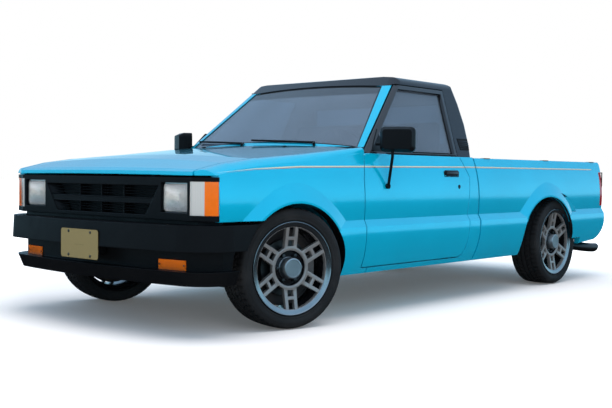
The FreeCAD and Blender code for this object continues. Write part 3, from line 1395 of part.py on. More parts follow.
def steering_wheel():
    axis = steering_axis()
    centre = vec(STEERING_X, station(STEERING_STATION), STEERING_Z)
    r = STEERING_RIM_RADIUS
    mid = STEERING_RADIUS - r
    section = [vec(mid + r * math.cos(k * math.pi / 3.0), 0, r * math.sin(k * math.pi / 3.0)) for k in range(6)]
    ring = Part.Face(polygon(section)).revolve(vec(0, 0, 0), vec(0, 0, 1), 360)
    hub = Part.makeCylinder(48.0, 40.0 - SEAT_GAP, vec(0, 0, -40.0 + SEAT_GAP))
    spokes = [block(-STEERING_RADIUS + 16.0, STEERING_RADIUS - 16.0, -18, 18, -16, -6),
              block(-18, 18, -STEERING_RADIUS + 16.0, 0, -16, -6)]
    wheel = fuse([ring, hub] + spokes)
    turn = FreeCAD.Rotation(vec(0, 0, 1), axis)
    wheel.Placement = FreeCAD.Placement(centre, turn)
    return wheel


# Bed

def bed_front_edge(x, shift):
    return arc(vec(x, station(CAB_REAR_LOW) + shift, SILL_Z),
               vec(x, station(CAB_REAR_MID) + shift, CAB_REAR_MID_Z),
               vec(x, station(CAB_REAR_TOP) + shift, BED_TOP_Z))


def bed_side():
    """Left bed side: full wall above the floor, single skin below, flared wheel arch."""
    y0 = station(CAB_REAR_LOW) - 50.0
    points = side_points(y0, BED_TOP_Z)
    sill = points[0]
    top = points[-1]
    inner_low = HALF_WIDTH - BED_SKIN_DEPTH
    edges = side_edges(points) + [
        line(top, vec(BED_WALL_X, y0, BED_TOP_Z)),
        line(vec(BED_WALL_X, y0, BED_TOP_Z), vec(BED_WALL_X, y0, BED_FLOOR_Z)),
        line(vec(BED_WALL_X, y0, BED_FLOOR_Z), vec(inner_low, y0, BED_FLOOR_Z)),
        line(vec(inner_low, y0, BED_FLOOR_Z), vec(sill.x - 16.0, y0, SILL_Z)),
        line(vec(sill.x - 16.0, y0, SILL_Z), sill),
    ]
    wall = face_of(edges).extrude(vec(0, REAR_Y - y0 + 10.0, 0))
    flare = arch_flare(REAR_ARCH_Y, REAR_ARCH_LENGTH)
    wall = wall.fuse(flare)
    x = -1.0
    low_rear = vec(x, REAR_Y - BED_REAR_RADIUS, BED_TAIL_Z)
    round_in = BED_REAR_RADIUS * (1.0 - math.sqrt(0.5))
    trim = side_prism([
        bed_front_edge(x, BED_GAP),
        line(vec(x, station(CAB_REAR_TOP) + BED_GAP, BED_TOP_Z), vec(x, REAR_Y - 24.0, BED_TOP_Z)),
        arc(vec(x, REAR_Y - 24.0, BED_TOP_Z), vec(x, REAR_Y - 8.0, BED_TOP_Z - 8.0), vec(x, REAR_Y, BED_TOP_Z - 26.0)),
        line(vec(x, REAR_Y, BED_TOP_Z - 26.0), vec(x, REAR_Y, BED_TAIL_Z + BED_REAR_RADIUS)),
        arc(vec(x, REAR_Y, BED_TAIL_Z + BED_REAR_RADIUS), vec(x, REAR_Y - round_in, BED_TAIL_Z + round_in), low_rear),
        line(low_rear, vec(x, REAR_ARCH_Y + REAR_ARCH_LENGTH, BED_TAIL_Z - 28.0)),
        line(vec(x, REAR_ARCH_Y + REAR_ARCH_LENGTH, BED_TAIL_Z - 28.0), vec(x, REAR_ARCH_Y, SILL_Z)),
        line(vec(x, REAR_ARCH_Y, SILL_Z), vec(x, station(CAB_REAR_LOW) + BED_GAP, SILL_Z)),
    ], x, BODY_WIDTH)
    wall = wall.common(trim)
    room = Part.makeCylinder(WHEELHOUSE_RADIUS, REAR_WHEEL_X + TYRE_WIDTH / 2.0 + WHEELHOUSE_SIDE,
                             vec(0, REAR_AXLE_Y, AXLE_Z), vec(1, 0, 0))
    pin_hole = tailgate_pin(BED_WALL_X + 2.0 * TAILGATE_PIN_RADIUS, SEAT_GAP)
    panel = wall.cut([arch_cutter(REAR_ARCH_Y, REAR_ARCH_LENGTH), tail_lamp_block(0.0), room, pin_hole])
    return biggest(panel), biggest(wall.common(tail_lamp_block(SEAT_GAP)))


def tail_lamp_block(gap):
    return block(0, BODY_WIDTH, REAR_Y - TAIL_LAMP_DEPTH + gap, REAR_Y + 10.0,
                 TAIL_LAMP_LOW_Z + gap, TAIL_LAMP_HIGH_Z - gap)


def bed_floor():
    """Floor, front wall and wheelhouses of the load bed."""
    y0 = station(CAB_REAR_MID) + BED_GAP + 4.0
    y1 = REAR_Y - TAILGATE_INSET - TAILGATE_THICK - TAILGATE_SWING_GAP
    x = BED_WALL_X - SEAT_GAP
    low = BED_FLOOR_Z - BED_FLOOR_THICK
    floor = block(-x, x, y0, y1, low, BED_FLOOR_Z)
    front = block(-x, x, y0, y0 + BED_FRONT_WALL, low, BED_TOP_Z)
    parts = [floor, front]
    house_x = REAR_WHEEL_X - TYRE_WIDTH / 2.0 - 45.0
    outer = WHEELHOUSE_RADIUS + WHEELHOUSE_WALL
    hollows = []
    above = block(-BODY_WIDTH, BODY_WIDTH, -LENGTH, LENGTH, low, ROOF_TOP_Z)
    for side in (-1, 1):
        start = vec(side * house_x, REAR_AXLE_Y, AXLE_Z)
        along = vec(side, 0, 0)
        drum = Part.makeCylinder(outer, x - house_x, start, along)
        parts.append(drum.common(above))
        hollow_start = vec(side * (house_x + WHEELHOUSE_WALL), REAR_AXLE_Y, AXLE_Z)
        hollows.append(Part.makeCylinder(WHEELHOUSE_RADIUS, x, hollow_start, along))
    return cut(fuse(parts), hollows)


def tailgate_pin(reach, gap):
    """Left hinge pin of the tailgate, from inside the gate out to reach."""
    y = REAR_Y - TAILGATE_INSET - TAILGATE_PIN_RISE
    z = TAILGATE_LOW_Z + TAILGATE_PIN_RISE
    start = vec(BED_WALL_X - 4.0 * PANEL_GAP, y, z)
    return rod(start, vec(reach, y, z), TAILGATE_PIN_RADIUS + gap)


def tailgate():
    """Flat gate between the bed sides with a pressed panel."""
    x = BED_WALL_X - PANEL_GAP
    y1 = REAR_Y - TAILGATE_INSET
    y0 = y1 - TAILGATE_THICK
    gate = block(-x, x, y0, y1, TAILGATE_LOW_Z, BED_TOP_Z - 2.0)
    press = block(-x + 90.0, x - 90.0, y1 - 8.0, y1 + 1.0, TAILGATE_LOW_Z + 70.0, BED_TOP_Z - 80.0)
    reach = x + PANEL_GAP + TAILGATE_PIN_RADIUS
    return fuse([gate.cut(press), tailgate_pin(reach, 0.0), mirrored(tailgate_pin(reach, 0.0))])


def rear_pan():
    """Body-coloured panel under the tailgate."""
    x = HALF_WIDTH - BED_SKIN_DEPTH - SEAT_GAP
    y1 = REAR_Y - TAILGATE_INSET
    z1 = TAILGATE_LOW_Z - TAILGATE_PIN_RISE
    points = [vec(-x, y1, z1), vec(-x, y1, z1 - 60.0), vec(-x, y1 - 50.0, REAR_PAN_LOW_Z),
              vec(-x, y1 - 65.0, REAR_PAN_LOW_Z), vec(-x, y1 - 30.0, z1 - 60.0), vec(-x, y1 - 30.0, z1)]
    return prism(points, vec(2.0 * x, 0, 0))


def build():
    tyre_shape = tyre()
    disc_rim = rim("disc")
    drum_rim = rim("drum")
    for side, name in ((1, "left"), (-1, "right")):
        write("tyre_front_" + name, placed_wheel(tyre_shape, side, True))
        write("rim_front_" + name, placed_wheel(disc_rim, side, True))
        write("tyre_rear_" + name, placed_wheel(tyre_shape, side, False))
        write("rim_rear_" + name, placed_wheel(drum_rim, side, False))
        write(name + "_knuckle", knuckle(side))
    write("frame_rails", frame_rails())
    write("engine_block", engine_block())
    write("radiator", radiator())
    write("front_suspension", front_suspension())
    write("rear_axle", rear_axle())
    write("leaf_springs", leaf_springs())
    write("propshaft", propshaft())
    write("fuel_tank", fuel_tank())
    write("exhaust", exhaust())
    shell = cab_shell_solid()
    house = greenhouse_shell()
    cab, roof = cab_and_roof(shell, house)
    write("cab_shell", cab)
    write("roof_panel", roof)
    left_door = door(shell, house)
    glass = door_glass()
    head = mirror()
    wing = fender()
    wall, lamp = bed_side()
    for side, name in ((1, "left"), (-1, "right")):
        for piece, shape in (("door", left_door), ("door_glass", glass), ("mirror", head),
                             ("fender", wing), ("bed_side", wall)):
            write(name + "_" + piece, shape if side > 0 else mirrored(shape))
    write("windshield", windshield())
    write("rear_window", rear_window())
    write("hood", hood())
    write("cowl_panel", cowl_panel())
    write("wipers", wipers())
    write("inner_wings", inner_wings())
    write("grille", grille())
    write("headlamps", headlamps())
    write("corner_lamps", corner_lamps())
    write("front_bumper", front_bumper())
    write("bumper_lamps", bumper_lamps())
    write("bench_seat", bench_seat())
    write("dashboard", dashboard())
    write("steering_column", steering_column())
    write("steering_wheel", steering_wheel())
    write("bed_floor", bed_floor())
    write("tail_lamps", both_sides(lamp))
    write("tailgate", tailgate())
    write("rear_pan", rear_pan())


build()
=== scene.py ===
import json
import logging
import math
from dataclasses import dataclass
from enum import Enum
from typing import Callable, Sequence

import bmesh
import bpy
from mathutils import Matrix, Vector


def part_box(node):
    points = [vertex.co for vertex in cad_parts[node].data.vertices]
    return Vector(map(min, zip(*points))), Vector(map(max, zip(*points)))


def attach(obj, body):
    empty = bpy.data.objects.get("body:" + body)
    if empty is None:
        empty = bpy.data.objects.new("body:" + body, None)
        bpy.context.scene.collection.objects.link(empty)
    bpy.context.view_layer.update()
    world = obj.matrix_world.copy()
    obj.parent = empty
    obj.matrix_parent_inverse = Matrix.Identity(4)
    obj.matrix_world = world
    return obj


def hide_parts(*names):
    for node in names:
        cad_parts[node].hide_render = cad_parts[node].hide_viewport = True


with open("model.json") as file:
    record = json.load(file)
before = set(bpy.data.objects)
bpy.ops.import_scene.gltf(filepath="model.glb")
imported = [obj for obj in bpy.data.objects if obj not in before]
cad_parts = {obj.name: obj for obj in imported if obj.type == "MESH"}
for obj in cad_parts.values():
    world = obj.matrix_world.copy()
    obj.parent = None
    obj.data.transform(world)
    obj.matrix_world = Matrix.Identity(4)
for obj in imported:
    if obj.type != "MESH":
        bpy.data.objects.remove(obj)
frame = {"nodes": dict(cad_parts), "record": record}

LOG = logging.getLogger("truck")
IMAGE_WIDTH = 612

Point = tuple[float, float, float]
Colour = tuple[float, float, float]
Section = Sequence[tuple[float, float]]
Piece = bpy.types.Object
Socket = bpy.types.NodeSocket

# Places on the truck, in metres. Stations are distances behind the front axle.
FRONT_AXLE_Y = -1.3815
REAR_AXLE_Y = 1.3795
WHEEL_X = 0.700
REAR_WHEEL_X = 0.6975
KINGPIN_X = 0.670
AXLE_Z = 0.302
STEER_AT_REST = math.radians(14.2)
BELT_Z = 0.880
SCREEN_TOP_Z = 1.306
ARCH_Z = 0.300
ARCH_HEIGHT = 0.323
ARCH_HALF = 0.375
ARCH_WALL_X = 0.7452
FRONT_ARCH_Y = FRONT_AXLE_Y - 0.038
REAR_ARCH_Y = REAR_AXLE_Y - 0.166

# Where lines that look for a skin start, and how far out a line that missed the skin stays
OUTSIDE_X = 1.2
MISSED_X = 1.0
OVERHEAD_Z = 1.5
BEHIND_Y = 4.0
AHEAD_Y = -3.0

# The pinstripe: its middle line as stations and heights, and the box that the line is drawn in
STRIPE = ((-0.543, 0.771), (-0.313, 0.790), (0.004, 0.804), (0.515, 0.811), (1.549, 0.820), (3.333, 0.821))
STRIPE_STATIONS = (-0.60, 3.40)
STRIPE_HEIGHTS = (0.760, 0.830)
STRIPE_END = 3.335
STRIPE_SKIN_X = 0.775
CREAM_HALF = 0.0028
RED_HALF = 0.0014
RED_DROP = 0.0050
CREAM = (0.72, 0.66, 0.42)
STRIPE_RED = (0.42, 0.10, 0.07)


def station(distance: float) -> float:
    """Y of a place given as a distance in metres behind the front axle."""
    return FRONT_AXLE_Y + distance


class Side(Enum):
    """The truck's two sides, each with its way along X."""

    LEFT = 1.0
    RIGHT = -1.0

    @property
    def sign(self) -> float:
        """1 on the left, -1 on the right."""
        return self.value

    @property
    def label(self) -> str:
        """The side's name, as it stands in the names of nodes and bodies."""
        return self.name.lower()

    @property
    def door(self) -> str:
        """The door on this side, both as a node and as a body."""
        return f"{self.label}_door"


# Finishes

class Finish(Enum):
    """The finishes that the truck's pieces are dressed in."""

    PAINT = "turquoise_paint"
    DOOR_PAINT = "door_paint"
    BED_PAINT = "bed_paint"
    BLACK_PAINT = "black_paint"
    PLASTIC = "black_plastic"
    GLOSS_BLACK = "gloss_black"
    RUBBER = "black_rubber"
    TYRE = "tyre_rubber"
    ALLOY = "gunmetal_alloy"
    LIP = "bright_lip"
    CAP = "satin_cap"
    CHROME = "chrome"
    MIRROR = "mirror_silver"
    STEEL = "worn_steel"
    CAST = "cast_metal"
    CHASSIS = "chassis_paint"
    GLASS = "tinted_glass"
    SCREEN_GLASS = "screen_glass"
    CLEAR_LENS = "clear_lens"
    AMBER_LENS = "amber_lens"
    CORNER_LENS = "corner_clear"
    RED_LENS = "red_lens"
    CLOTH = "seat_cloth"
    TRIM = "cabin_trim"
    PLATE = "plate_face"
    FLOOR = "studio_floor"


def feed(tree: bpy.types.NodeTree, target: Socket, value: object) -> None:
    """Link a socket to an input, or set the input to a value.

    Args:
        tree: the nodes that both belong to.
        target: the input.
        value: an output socket, or a plain value.
    """
    if isinstance(value, Socket):
        tree.links.new(value, target)
    else:
        target.default_value = value


def add_node(tree: bpy.types.NodeTree, kind: str, sources: dict[int | str, object],
             **settings: object) -> bpy.types.Node:
    """Add a node.

    Args:
        tree: the nodes that it joins.
        kind: the node's type.
        sources: what each input is linked from or set to.
        settings: the node's own settings.

    Returns:
        The new node.
    """
    made = tree.nodes.new(kind)
    for key, value in settings.items():
        setattr(made, key, value)
    for key, value in sources.items():
        feed(tree, made.inputs[key], value)
    return made


def rgba(colour: object) -> object:
    """A colour with its alpha, or a socket as it is."""
    return colour if isinstance(colour, Socket) else (*tuple(colour)[:3], 1.0)


def shaded(colour: Colour, share: float) -> Colour:
    """A darker tone of a colour."""
    return tuple(share * part for part in colour)


class Shader:
    """A new material, its main shader, and the nodes that feed it."""

    def __init__(self, name: str) -> None:
        """Make the material and its object coordinates.

        Args:
            name: the material's name.
        """
        self.material = bpy.data.materials.new(name)
        self.material.use_nodes = True
        self.tree = self.material.node_tree
        self.main = self.tree.nodes["Principled BSDF"]
        self.place = self.tree.nodes.new("ShaderNodeTexCoord").outputs["Object"]

    def put(self, **values: object) -> None:
        """Set the main shader's sockets, named with underscores for spaces."""
        for key, value in values.items():
            feed(self.tree, self.main.inputs[key.replace("_", " ")], value)

    def node(self, kind: str, sources: dict[int | str, object], **settings: object) -> bpy.types.Node:
        """Add a node to this material."""
        return add_node(self.tree, kind, sources, **settings)

    def maths(self, operation: str, first: object, second: object = 0.0) -> Socket:
        """The result of a sum of two sockets or numbers."""
        return self.node("ShaderNodeMath", {0: first, 1: second}, operation=operation).outputs[0]

    def noise(self, scale: float, detail: float = 3.0, stretch: Point = (1.0, 1.0, 1.0)) -> Socket:
        """A noise value over object coordinates, stretched along the axes."""
        mapped = self.node("ShaderNodeMapping", {"Vector": self.place, "Scale": stretch}).outputs[0]
        sources = {"Vector": mapped, "Scale": scale, "Detail": detail}
        return self.node("ShaderNodeTexNoise", sources).outputs["Fac"]

    def spread(self, value: Socket, low: float, high: float, out_low: float = 0.0,
               out_high: float = 1.0) -> Socket:
        """A value's range from low to high mapped onto another range, and held there."""
        sources = {0: value, 1: low, 2: high, 3: out_low, 4: out_high}
        return self.node("ShaderNodeMapRange", sources).outputs[0]

    def mix(self, share: object, first: object, second: object) -> Socket:
        """A colour between two colours."""
        sources = {0: share, 6: rgba(first), 7: rgba(second)}
        return self.node("ShaderNodeMix", sources, data_type="RGBA").outputs[2]

    def axis(self, name: str) -> Socket:
        """One coordinate of the place on the piece, named X, Y or Z."""
        return self.node("ShaderNodeSeparateXYZ", {0: self.place}).outputs[name]

    def waves(self, scale: float, distortion: float = 0.0) -> Socket:
        """Even ribs across the X axis."""
        sources = {"Vector": self.place, "Scale": scale, "Distortion": distortion}
        return self.node("ShaderNodeTexWave", sources, bands_direction="X").outputs["Fac"]

    def bump(self, height: Socket, strength: float, depth: float, edge: float = 0.0) -> None:
        """Raise the surface by a height, and round its edges.

        Args:
            height: the height as a share of the depth.
            strength: how strongly it shows.
            depth: the full height in metres.
            edge: the radius that sharp edges are shaded with.
        """
        sources = {"Height": height, "Strength": strength, "Distance": depth}
        if edge > 0.0:
            sources["Normal"] = self.node("ShaderNodeBevel", {"Radius": edge}, samples=4).outputs[0]
            self.put(Coat_Normal=sources["Normal"])
        self.put(Normal=self.node("ShaderNodeBump", sources).outputs[0])


class Recipe:
    """How the material of one finish is made."""

    def make(self, name: str) -> bpy.types.Material:
        """Make the material.

        Args:
            name: the material's name.

        Returns:
            The material.
        """
        shader = Shader(name)
        self.feed_main(shader)
        return shader.material

    def feed_main(self, shader: Shader) -> None:
        """Feed the main shader, each recipe in its own way."""
        raise NotImplementedError


@dataclass(frozen=True)
class GlossPaint(Recipe):
    """Clear-coated body paint, with an optional pinstripe and black upper part."""

    colour: Colour
    striped: bool = False
    black_above: float = 0.0
    roughness: float = 0.17
    coat: float = 1.0
    metallic: float = 0.42
    edge: float = 0.004
    dust_heights: tuple[float, float] = (0.40, 0.23)
    dust: Colour = (0.10, 0.11, 0.11)
    dust_share: float = 0.08
    black: Colour = (0.018, 0.019, 0.022)
    arch_black: Colour = (0.004, 0.004, 0.005)

    def feed_main(self, shader: Shader) -> None:
        """Mottled colour, dust towards the sill, a pinstripe and arches, and rounded edges.

        Args:
            shader: the material's shader.
        """
        tone = shader.spread(shader.noise(2.5, 2.0), 0.3, 0.7)
        colour = shader.mix(tone, shaded(self.colour, 0.93), self.colour)
        height = shader.axis("Z")
        dust = shader.maths("MULTIPLY", shader.spread(height, *self.dust_heights),
                            shader.spread(shader.noise(9.0), 0.3, 0.8))
        colour = shader.mix(shader.maths("MULTIPLY", dust, self.dust_share), colour, self.dust)
        if self.striped:
            colour = self.pinstripe(shader, colour, height)
            for middle in (FRONT_ARCH_Y, REAR_ARCH_Y):
                colour = shader.mix(self.arch(shader, height, middle), colour, self.arch_black)
        if self.black_above > 0.0:
            colour = shader.mix(shader.maths("GREATER_THAN", height, self.black_above), colour, self.black)
        shader.put(Base_Color=colour, Metallic=self.metallic, Specular_IOR_Level=0.25,
                   Roughness=shader.spread(dust, 0.0, 1.0, self.roughness, self.roughness + 0.04),
                   Coat_Weight=self.coat, Coat_Roughness=0.025)
        shader.bump(shader.noise(420.0, 1.0), 0.03, 0.0004, self.edge)

    def arch(self, shader: Shader, height: Socket, middle: float) -> Socket:
        """Where the paint is black: inside a wheel arch and on its cut edge.

        Args:
            shader: the paint's shader.
            height: height on the truck.
            middle: Y of the arch's middle.

        Returns:
            One inside the arch, else zero.
        """
        along = shader.maths("DIVIDE", shader.maths("SUBTRACT", shader.axis("Y"), middle), ARCH_HALF)
        rise = shader.maths("DIVIDE", shader.maths("SUBTRACT", height, ARCH_Z), ARCH_HEIGHT)
        up = shader.maths("MAXIMUM", rise, 0.0)
        reach = shader.maths("ADD", shader.maths("MULTIPLY", along, along), shader.maths("MULTIPLY", up, up))
        wall = shader.maths("GREATER_THAN", shader.maths("ABSOLUTE", shader.axis("X")), ARCH_WALL_X)
        return shader.maths("MULTIPLY", wall, shader.maths("LESS_THAN", reach, 1.003))

    def pinstripe(self, shader: Shader, colour: Socket, height: Socket) -> Socket:
        """Lay a cream line with a red edge along the body side, tapered at the nose.

        Args:
            shader: the paint's shader.
            colour: the paint under the line.
            height: height on the truck.

        Returns:
            The colour with the line on it.
        """
        start, end = (station(distance) for distance in STRIPE_STATIONS)
        low, high = STRIPE_HEIGHTS
        curve = shader.node("ShaderNodeFloatCurve", {1: shader.spread(shader.axis("Y"), start, end)})
        points = curve.mapping.curves[0].points
        for index, (distance, z) in enumerate(STRIPE):
            place = ((station(distance) - start) / (end - start), (z - low) / (high - low))
            if index < 2:
                points[index * (len(points) - 1)].location = place
            else:
                points.new(*place)
        for point in points:
            point.handle_type = "VECTOR"
        curve.mapping.update()
        offset = shader.maths("SUBTRACT", height, shader.spread(curve.outputs[0], 0.0, 1.0, low, high))
        taper = shader.spread(shader.axis("Y"), station(-0.56), station(-0.1))
        before_end = shader.maths("LESS_THAN", shader.axis("Y"), station(STRIPE_END))
        outside = shader.maths("GREATER_THAN", shader.maths("ABSOLUTE", shader.axis("X")), STRIPE_SKIN_X)
        there = shader.maths("MULTIPLY", before_end, outside)
        for drop, half, tone in ((0.0, CREAM_HALF, CREAM), (RED_DROP, RED_HALF, STRIPE_RED)):
            off = shader.maths("ABSOLUTE", shader.maths("ADD", offset, drop))
            line = shader.maths("LESS_THAN", off, shader.maths("MULTIPLY", taper, half))
            colour = shader.mix(shader.maths("MULTIPLY", line, there), colour, tone)
        return colour


@dataclass(frozen=True)
class Moulded(Recipe):
    """Grained plastic, rubber or painted metal."""

    colour: Colour
    roughness: float
    grain: float
    depth: float
    wear: Colour = (0.10, 0.10, 0.10)
    wear_share: float = 0.15
    coat: float = 0.0
    metallic: float = 0.0
    shine: float = 0.3
    edge: float = 0.0

    def feed_main(self, shader: Shader) -> None:
        """A worn colour, a patina and a fine grain.

        Args:
            shader: the material's shader.
        """
        patches = shader.spread(shader.noise(6.0, 4.0), 0.45, 0.8, 0.0, self.wear_share)
        patina = shader.spread(shader.noise(14.0), 0.3, 0.7, self.roughness - 0.06, self.roughness + 0.06)
        shader.put(Base_Color=shader.mix(patches, self.colour, self.wear), Roughness=patina,
                   Metallic=self.metallic, Specular_IOR_Level=self.shine, Coat_Weight=self.coat,
                   Coat_Roughness=0.08)
        shader.bump(shader.noise(self.grain), 0.5, self.depth, self.edge)


@dataclass(frozen=True)
class Metal(Recipe):
    """Bare, brushed or plated metal."""

    colour: Colour
    roughness: float
    brushed: Point = (1.0, 1.0, 1.0)
    scratch: float = 0.04

    def feed_main(self, shader: Shader) -> None:
        """Streaks along the brushing and a patchy tone.

        Args:
            shader: the material's shader.
        """
        streaks = shader.noise(180.0, 2.0, self.brushed)
        tone = shader.spread(shader.noise(11.0), 0.35, 0.7)
        smooth, rough = max(0.02, self.roughness - self.scratch), self.roughness + self.scratch
        shader.put(Base_Color=shader.mix(tone, shaded(self.colour, 0.82), self.colour), Metallic=1.0,
                   Roughness=shader.spread(streaks, 0.3, 0.7, smooth, rough))
        shader.bump(streaks, 0.05, 0.0003)


@dataclass(frozen=True)
class Glazing(Recipe):
    """Tinted window glass, with an optional darker band along its top."""

    colour: Colour
    band_above: float = 0.0
    band_blur: float = 0.004
    clearness: float = 0.75

    def feed_main(self, shader: Shader) -> None:
        """A slight haze, and the darker band.

        Args:
            shader: the material's shader.
        """
        haze = shader.spread(shader.noise(3.0, 2.0), 0.3, 0.7)
        colour = shader.mix(haze, shaded(self.colour, 0.8), self.colour)
        if self.band_above > 0.0:
            low, high = self.band_above - self.band_blur, self.band_above + self.band_blur
            colour = shader.mix(shader.spread(shader.axis("Z"), low, high), colour, shaded(self.colour, 0.35))
        shader.put(Base_Color=colour, Roughness=shader.spread(haze, 0.0, 1.0, 0.015, 0.03),
                   Transmission_Weight=self.clearness, IOR=1.62, Specular_IOR_Level=1.0)


@dataclass(frozen=True)
class Lens(Recipe):
    """Moulded lamp lens with fine flutes, clear in its inner part where it has one."""

    colour: Colour
    clearness: float
    flutes: float = 260.0 / 6.0
    clear_inside: float = 0.0
    clear: Colour = (0.62, 0.60, 0.56)

    def feed_main(self, shader: Shader) -> None:
        """A grained colour and fine upright flutes.

        Args:
            shader: the material's shader.
        """
        grain = shader.spread(shader.noise(40.0, 2.0), 0.3, 0.7)
        colour = shader.mix(grain, shaded(self.colour, 0.92), self.colour)
        if self.clear_inside > 0.0:
            inside = shader.maths("LESS_THAN", shader.maths("ABSOLUTE", shader.axis("X")), self.clear_inside)
            colour = shader.mix(inside, colour, self.clear)
        shader.put(Base_Color=colour, Roughness=shader.spread(grain, 0.0, 1.0, 0.06, 0.12),
                   Transmission_Weight=self.clearness, IOR=1.49, Coat_Weight=0.6, Coat_Roughness=0.03)
        shader.bump(shader.waves(self.flutes, 0.3), 0.35, 0.0012)


@dataclass(frozen=True)
class Cloth(Recipe):
    """Woven seat cloth with a ribbed weave."""

    colour: Colour
    thread: Colour
    ribs: float = 120.0

    def feed_main(self, shader: Shader) -> None:
        """Flecked threads on a ribbed weave.

        Args:
            shader: the material's shader.
        """
        weave = shader.waves(self.ribs)
        fleck = shader.spread(shader.noise(700.0, 1.0), 0.45, 0.6)
        colour = shader.mix(shader.maths("MULTIPLY", weave, fleck), self.colour, self.thread)
        shader.put(Base_Color=colour, Roughness=shader.spread(fleck, 0.0, 1.0, 0.82, 0.95), Sheen_Weight=0.35)
        shader.bump(weave, 0.5, 0.001)


TURQUOISE = (0.0005, 0.48, 0.70)

FINISHES = {
    Finish.PAINT: GlossPaint(TURQUOISE, striped=True),
    Finish.DOOR_PAINT: GlossPaint(TURQUOISE, striped=True, black_above=BELT_Z + 0.003),
    Finish.BED_PAINT: GlossPaint(TURQUOISE, edge=0.0),
    Finish.BLACK_PAINT: GlossPaint((0.008, 0.010, 0.014), roughness=0.24, coat=0.35, metallic=0.0),
    Finish.PLASTIC: Moulded((0.0035, 0.0038, 0.0045), 0.38, 500.0, 0.0003, wear=(0.011, 0.011, 0.012),
                            shine=0.13, edge=0.006),
    Finish.GLOSS_BLACK: Moulded((0.005, 0.005, 0.006), 0.24, 300.0, 0.0001, wear=(0.012, 0.012, 0.013),
                                coat=0.35, edge=0.004),
    Finish.RUBBER: Moulded((0.004, 0.004, 0.004), 0.62, 600.0, 0.0003, wear=(0.02, 0.02, 0.02), shine=0.2),
    Finish.TYRE: Moulded((0.010, 0.010, 0.0105), 0.66, 260.0, 0.0005, wear=(0.04, 0.038, 0.036),
                         wear_share=0.35, shine=0.25),
    Finish.ALLOY: Moulded((0.29, 0.28, 0.27), 0.34, 400.0, 0.0001, wear=(0.32, 0.31, 0.30), coat=0.3,
                          metallic=0.6, shine=0.5),
    Finish.LIP: Metal((0.50, 0.51, 0.52), 0.22),
    Finish.CAP: Metal((0.74, 0.74, 0.74), 0.40),
    Finish.CHROME: Metal((0.80, 0.81, 0.82), 0.08, scratch=0.02),
    Finish.MIRROR: Metal((0.80, 0.82, 0.84), 0.04, scratch=0.01),
    Finish.STEEL: Metal((0.13, 0.125, 0.12), 0.42, brushed=(1.0, 8.0, 1.0)),
    Finish.CAST: Moulded((0.14, 0.135, 0.13), 0.6, 90.0, 0.0012, wear=(0.12, 0.075, 0.05), wear_share=0.5,
                         metallic=0.7),
    Finish.CHASSIS: Moulded((0.018, 0.018, 0.019), 0.55, 60.0, 0.0006, wear=(0.09, 0.06, 0.045),
                            wear_share=0.5),
    Finish.GLASS: Glazing((0.24, 0.29, 0.36)),
    Finish.SCREEN_GLASS: Glazing((0.30, 0.37, 0.46), band_above=1.245),
    Finish.CLEAR_LENS: Lens((0.84, 0.81, 0.77), 0.85),
    Finish.AMBER_LENS: Lens((1.0, 0.20, 0.01), 0.35),
    Finish.CORNER_LENS: Lens((1.0, 0.19, 0.01), 0.30, clear_inside=0.745),
    Finish.RED_LENS: Lens((0.42, 0.01, 0.01), 0.30),
    Finish.CLOTH: Cloth((0.05, 0.055, 0.065), (0.15, 0.155, 0.17)),
    Finish.TRIM: Moulded((0.05, 0.052, 0.056), 0.6, 420.0, 0.0006),
    Finish.PLATE: Moulded((0.215, 0.160, 0.060), 0.4, 300.0, 0.0002, wear=(0.16, 0.13, 0.055)),
    Finish.FLOOR: Moulded((0.96, 0.86, 0.80), 0.9, 30.0, 0.0003, wear=(0.93, 0.84, 0.78), shine=0.0),
}

SLOT_FINISH = {
    "body_paint": Finish.PAINT,
    "black_paint": Finish.BLACK_PAINT,
    "tinted_glass": Finish.GLASS,
    "black_plastic": Finish.PLASTIC,
    "tyre_rubber": Finish.TYRE,
    "alloy": Finish.ALLOY,
    "chassis_steel": Finish.CHASSIS,
    "cast_metal": Finish.CAST,
    "exhaust_steel": Finish.CHROME,
    "headlamp_glass": Finish.CLEAR_LENS,
    "corner_lens": Finish.AMBER_LENS,
    "amber_lens": Finish.AMBER_LENS,
    "red_lens": Finish.RED_LENS,
    "seat_cloth": Finish.CLOTH,
    "cabin_trim": Finish.TRIM,
    "spring_steel": Finish.STEEL,
}

NODE_FINISH = {
    "left_door": Finish.DOOR_PAINT,
    "right_door": Finish.DOOR_PAINT,
    "windshield": Finish.SCREEN_GLASS,
    "left_mirror": Finish.PLASTIC,
    "right_mirror": Finish.PLASTIC,
    "corner_lamps": Finish.CORNER_LENS,
}


class Wardrobe:
    """Makes each finish once and puts it on pieces."""

    def __init__(self) -> None:
        """Start with no finish made."""
        self.made: dict[Finish, bpy.types.Material] = {}

    def material(self, finish: Finish) -> bpy.types.Material:
        """The material of a finish."""
        if finish not in self.made:
            self.made[finish] = FINISHES[finish].make(finish.value)
        return self.made[finish]

    def dress(self, piece: Piece, finish: Finish) -> Piece:
        """Put one finish all over a piece."""
        piece.data.materials.clear()
        piece.data.materials.append(self.material(finish))
        return piece

    def dress_frame(self) -> None:
        """Give every CAD node the finish of its slot."""
        for part in frame["record"]["subparts"]:
            node = part["node"]
            self.dress(frame["nodes"][node], NODE_FINISH.get(node, SLOT_FINISH[part["material_slot"]]))


@dataclass
class SubAssembly:
    """Pieces that are modelled together and dressed from one wardrobe."""

    wardrobe: Wardrobe

    def fit(self, piece: Piece, finish: Finish, body: str = "chassis") -> Piece:
        """Dress a piece, let it ride on a body and report it.

        Args:
            piece: the piece.
            finish: what it is dressed in.
            body: the body that it moves with.

        Returns:
            The piece.
        """
        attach(self.wardrobe.dress(piece, finish), body)
        LOG.info("%s rides on %s", piece.name, body)
        return piece


# Modelling moves

